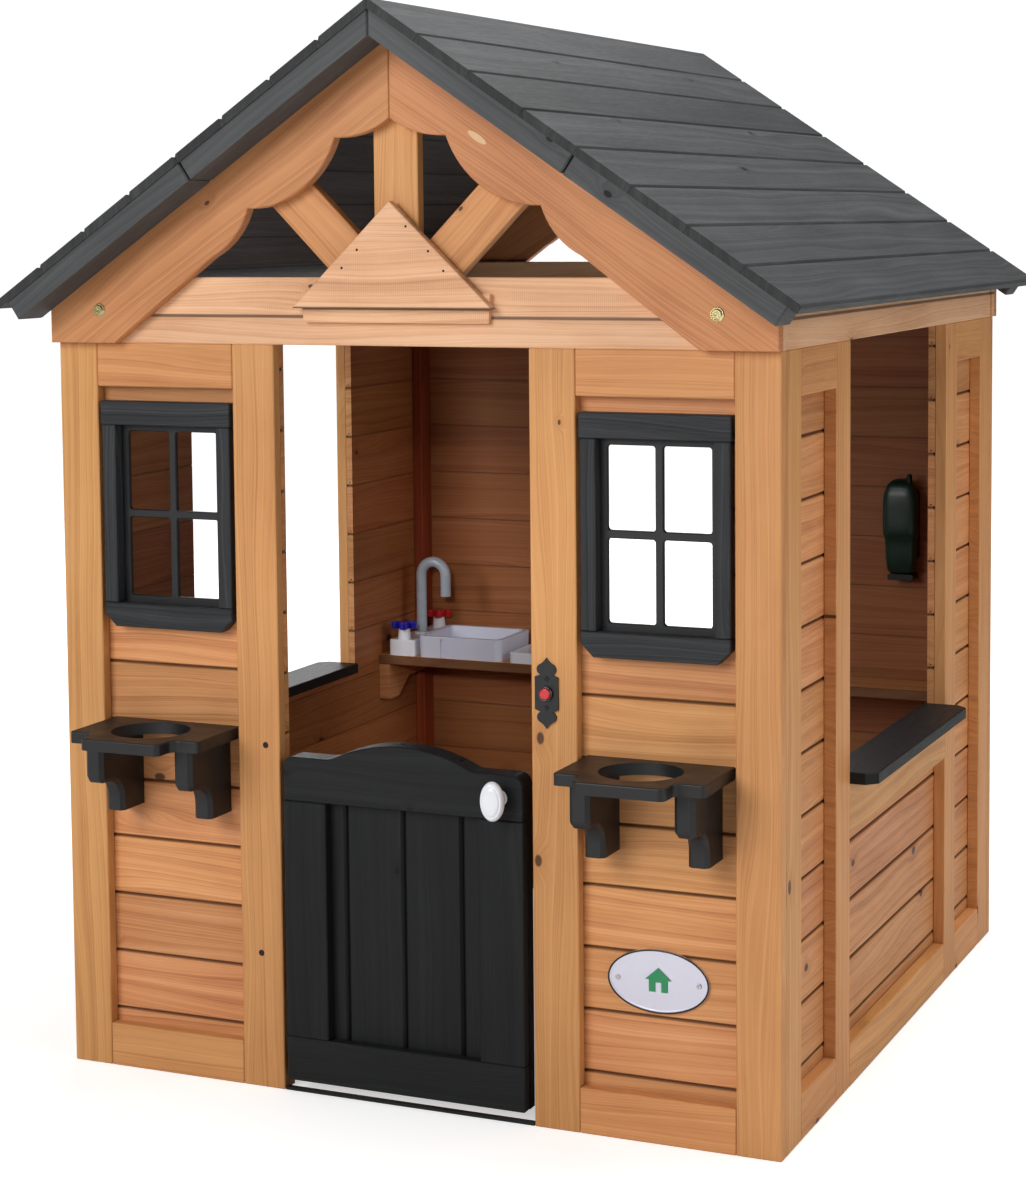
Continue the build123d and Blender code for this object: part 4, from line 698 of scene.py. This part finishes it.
# The doorbell: a chromed bezel that the red button moves in. Past the button's edge, and how far out.
bezel_profile = [(0.5, -0.2), (0.5, 1.1), (1.1, 1.7), (1.7, 1.2), (2.0, 0.3), (2.0, -0.2)]
bell_x, bell_z, bell_radius = seen_from_the_front("doorbell_button")[:3]
bell_face = in_mm("doorbell_plate")[0].y
bezel = ringed("doorbell_bezel", [flat_oval(bell_x, bell_face - out, bell_z, bell_radius + past,
                                            bell_radius + past) for past, out in bezel_profile],
               chrome, "house", closed=False)

# The name plate: a black enamel rim, and a plain ornament in the shape of a gabled house.
# The rim's profile: how far in from the plate's edge, and how far out of its face.
rim_profile = [(0.1, 0.0), (0.1, 0.35), (2.1, 0.35), (2.3, 0.0)]
ornament = [(-12, -13), (-4, -13), (-4, -1), (4, -1), (4, -13), (12, -13), (12, 2), (17, 2), (0, 17),
            (-17, 2), (-12, 2)]
ornament_thick = 0.4
name_x, name_z, name_half_x, name_half_z = seen_from_the_front("name_plate")
name_face = in_mm("name_plate")[0].y
rim = ringed("name_plate_rim", [flat_oval(name_x, name_face - out, name_z, name_half_x - inset,
                                          name_half_z - inset) for inset, out in rim_profile],
             black_enamel, "house", sides=96, closed=False, rounds=0)
emblem = outline_plate("name_plate_ornament", [(name_x + x, name_z + z) for x, z in ornament],
                       name_face, ornament_thick, green_enamel, "house")

# Nails in the gable's triangular plate, from its tip, and dark dots of painted shade in the screw holes
# of the left doorpost, from its edge.
nail_spots = [(22.7, -31.3), (-44.5, -59.7), (52.7, -61.7), (-66.0, -81.9), (72.9, -85.6)]
screw_spots = [(-20, 450.0), (-31, 177.0)]
nail_radius, screw_radius = 1.7, 4.3
# A head with a dimple: how far out, and the share of its radius.
dimple = [(-0.4, 1.0), (0.04, 1.0), (0.1, 0.9), (0.08, 0.6), (0.04, 0.3), (0.03, 0.05)]
plate_low, plate_high = in_mm("front_gable_plate")
post_edge, post_face = in_mm("front_left_frame")[1].x, in_mm("front_left_frame")[0].y
for group, spots, face, radius in (
        ("gable_plate_nail", [(x, plate_high.z + z) for x, z in nail_spots], plate_low.y, nail_radius),
        ("doorpost_screw_hole_shade", [(post_edge + x, z) for x, z in screw_spots], post_face, screw_radius)):
    for number, (x, z) in enumerate(spots):
        head = ringed(f"{group}_{number + 1}",
                      [flat_oval(x, face - out, z, radius * share, radius * share)
                       for out, share in dimple], nail_steel_and_hole_shade, "house", sides=20)

# A filled knot on the right rafter, long along its grain: how far out, and the share of its size.
patch = [(-0.3, 1.0), (0.08, 1.0), (0.14, 0.85), (0.16, 0.4), (0.16, 0.05)]
patch_x, patch_z = 118.0, 1217.5
patch_half_long, patch_half_wide = 15, 4.2
rafter_face = in_mm("front_gable_rafters")[0].y
filled_knot = ringed("filled_knot", [flat_oval(patch_x, rafter_face - out, patch_z,
                                               patch_half_long * share, patch_half_wide * share,
                                               -ROOF_PITCH) for out, share in patch],
                     filler, "house", sides=32)

# The telephone's handset: a domed top, a full upper half and a slimmer lower half.
# How far up as a share of its height, then the width and the depth there as shares.
phone_sections = [(0.0, 0.50, 0.42), (0.008, 0.64, 0.56), (0.03, 0.76, 0.68), (0.09, 0.83, 0.76),
                  (0.22, 0.87, 0.80), (0.36, 0.89, 0.82), (0.385, 0.93, 0.88), (0.41, 0.98, 0.95),
                  (0.45, 1.0, 0.98), (0.62, 1.0, 1.0), (0.76, 0.99, 0.99), (0.86, 0.93, 0.95),
                  (0.93, 0.80, 0.86), (0.975, 0.58, 0.72), (0.995, 0.34, 0.52), (1.0, 0.12, 0.3)]
SQUARENESS = 4.5         # 2 would make its sections oval, and more makes their corners tighter
antenna_rise = 8         # of the antenna over the handset's top
antenna_inset = 13       # of its middle from the handset's right side
# The antenna: how far above the handset's top, and its radius there.
antenna_profile = [(-16, 5.0), (-3, 4.8), (2, 4.4), (6, 3.9), (7.4, 3.2), (7.9, 1.4), (8, 0.2)]
phone_low, phone_high = in_mm("phone_handset")
phone_x, phone_back = (phone_low.x + phone_high.x) / 2, phone_high.y
phone_width, phone_depth = phone_high.x - phone_low.x, phone_high.y - phone_low.y
phone_height = phone_high.z - phone_low.z - antenna_rise


def rounded_block(rise, width, depth):
    """A level ring of the handset: flat sides with round corners, against its own back."""
    def ring(angle):
        c, s = math.cos(angle), math.sin(angle)
        bulge = (abs(c) ** SQUARENESS + abs(s) ** SQUARENESS) ** (-1 / SQUARENESS)
        middle = phone_back - phone_depth * depth / 2
        return (phone_x + phone_width / 2 * width * c * bulge,
                middle + phone_depth / 2 * depth * s * bulge, phone_low.z + phone_height * rise)
    return ring


def level_circle(x, y, z, radius):
    """A level round ring."""
    def ring(angle):
        return x + radius * math.cos(angle), y + radius * math.sin(angle), z
    return ring


handset = ringed("telephone_handset", [rounded_block(*section) for section in phone_sections],
                 green_resin, "handset", sides=48)
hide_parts("phone_handset")
antenna_x, antenna_y = phone_high.x - antenna_inset, phone_high.y - phone_depth / 2
antenna = ringed("telephone_antenna",
                 [level_circle(antenna_x, antenna_y, phone_high.z - antenna_rise + rise, radius)
                  for rise, radius in antenna_profile], black_resin, "handset", sides=24)

# ---- floor, light and camera ----
# A pale matt floor that fades into the white surround: it keeps the contact shadows near the walls,
# and its own light hides its far edge from the camera.
FADE_FROM, FADE_TO = 0.9, 4.0     # metres from the house's middle
NEAR_GLOW, FAR_GLOW = 0.5, 1.0
LIT_BY_SURROUND, SEEN_SURROUND = 0.1, 1.05    # strength of the white around, for light and for the eye
floor_material, tree = new_material("pale_studio_floor")
seen = put(tree, "ShaderNodeLightPath")["Is Camera Ray"]
spot = put(tree, "ShaderNodeTexCoord")["Object"]
out = put(tree, "ShaderNodeVectorMath", {0: spot}, operation="LENGTH")["Value"]
fade = put(tree, "ShaderNodeMapRange", {"Value": out, "From Min": FADE_FROM, "From Max": FADE_TO,
                                        "To Min": NEAR_GLOW, "To Max": FAR_GLOW},
           interpolation_type="SMOOTHSTEP")
glow = put(tree, "ShaderNodeMath", {0: seen, 1: fade}, operation="MULTIPLY")
close_shader(tree, {"Base Color": linear("#e9e9e8"), "Roughness": 0.9, "Specular IOR Level": 0.1,
                    "Emission Color": (1, 1, 1, 1), "Emission Strength": glow})
bpy.ops.mesh.primitive_plane_add(size=60, location=(0, 0, 0))
floor = bpy.context.active_object
floor.name = "studio_floor"
floor.data.materials.append(floor_material)

world = bpy.data.worlds.new("studio_surround")
bpy.context.scene.world = world
world.use_nodes = True
tree = world.node_tree
tree.nodes.clear()
seen = put(tree, "ShaderNodeLightPath")["Is Camera Ray"]
strength = put(tree, "ShaderNodeMapRange", {"Value": seen, "To Min": LIT_BY_SURROUND,
                                            "To Max": SEEN_SURROUND})
surround = put(tree, "ShaderNodeBackground", {"Color": (1, 1, 1, 1), "Strength": strength})
put(tree, "ShaderNodeOutputWorld", {"Surface": surround})


def hang(lamp, place, target):
    """Puts a lamp at a place, in metres, and aims it at a target."""
    holder = bpy.data.objects.new(lamp.name, lamp)
    holder.location = place
    holder.rotation_euler = (Vector(target) - Vector(place)).to_track_quat("-Z", "Y").to_euler()
    bpy.context.scene.collection.objects.link(holder)


def softbox(name, place, target, power):
    """A broad soft light, with its power in watts."""
    lamp = bpy.data.lights.new(name, "AREA")
    lamp.size = SOFTBOX_SIZE
    lamp.energy = power
    hang(lamp, place, target)


def beam(name, place, target, cone, power):
    """A lamp with a narrow soft cone, in degrees, for what stands behind an opening."""
    lamp = bpy.data.lights.new(name, "SPOT")
    lamp.spot_size = math.radians(cone)
    lamp.spot_blend = 1.0
    lamp.shadow_soft_size = BEAM_SIZE
    lamp.energy = power
    hang(lamp, place, target)


SOFTBOX_SIZE = 2.6       # metres, the side of each softbox
BEAM_SIZE = 0.12         # metres, the radius of the beam's source
beam("kitchen_light", (1.5, -4.4, 1.75), (-0.3, 0.42, 0.45), 9.0, 190)
softbox("key_light", (-1.3, -4.6, 2.6), (0, -0.4, 0.8), 158)
softbox("side_light", (4.8, -1.2, 2.2), (0.4, 0.1, 0.7), 66)
softbox("back_light", (-2.4, 4.6, 2.4), (0, 0.4, 0.7), 75)
softbox("left_light", (-4.8, 0.4, 2.2), (-0.4, 0.1, 0.7), 34)
softbox("top_light", (0.9, 0.5, 4.6), (0.1, 0.0, 0.9), 150)

# The camera stands in front and to the right and tilts down a little. The lens shift does the rest,
# which keeps the walls nearly upright.
YAW, PITCH, ROLL = math.radians(23.82), math.radians(4.6), math.radians(-0.52)
CAMERA_PLACE = Vector((1.3953, -3.3120, 1.1187))
FOCAL_LENGTH, SENSOR_WIDTH = 76.2, 36
LENS_SHIFT = -0.1467
forward = Vector((-math.sin(YAW) * math.cos(PITCH), math.cos(YAW) * math.cos(PITCH),
                  -math.sin(PITCH)))
level_right = Vector((math.cos(YAW), math.sin(YAW), 0))
level_up = level_right.cross(forward)
right = math.cos(ROLL) * level_right + math.sin(ROLL) * level_up
up = -math.sin(ROLL) * level_right + math.cos(ROLL) * level_up
lens = bpy.data.cameras.new("view")
lens.sensor_fit = "AUTO"
lens.sensor_width = SENSOR_WIDTH
lens.lens = FOCAL_LENGTH
lens.shift_y = LENS_SHIFT
camera = bpy.data.objects.new("view", lens)
camera.matrix_world = Matrix.LocRotScale(CAMERA_PLACE, Matrix((right, up, -forward)).transposed(),
                                         None)
bpy.context.scene.collection.objects.link(camera)
bpy.context.scene.camera = camera
bpy.context.scene.view_settings.view_transform = "Standard"
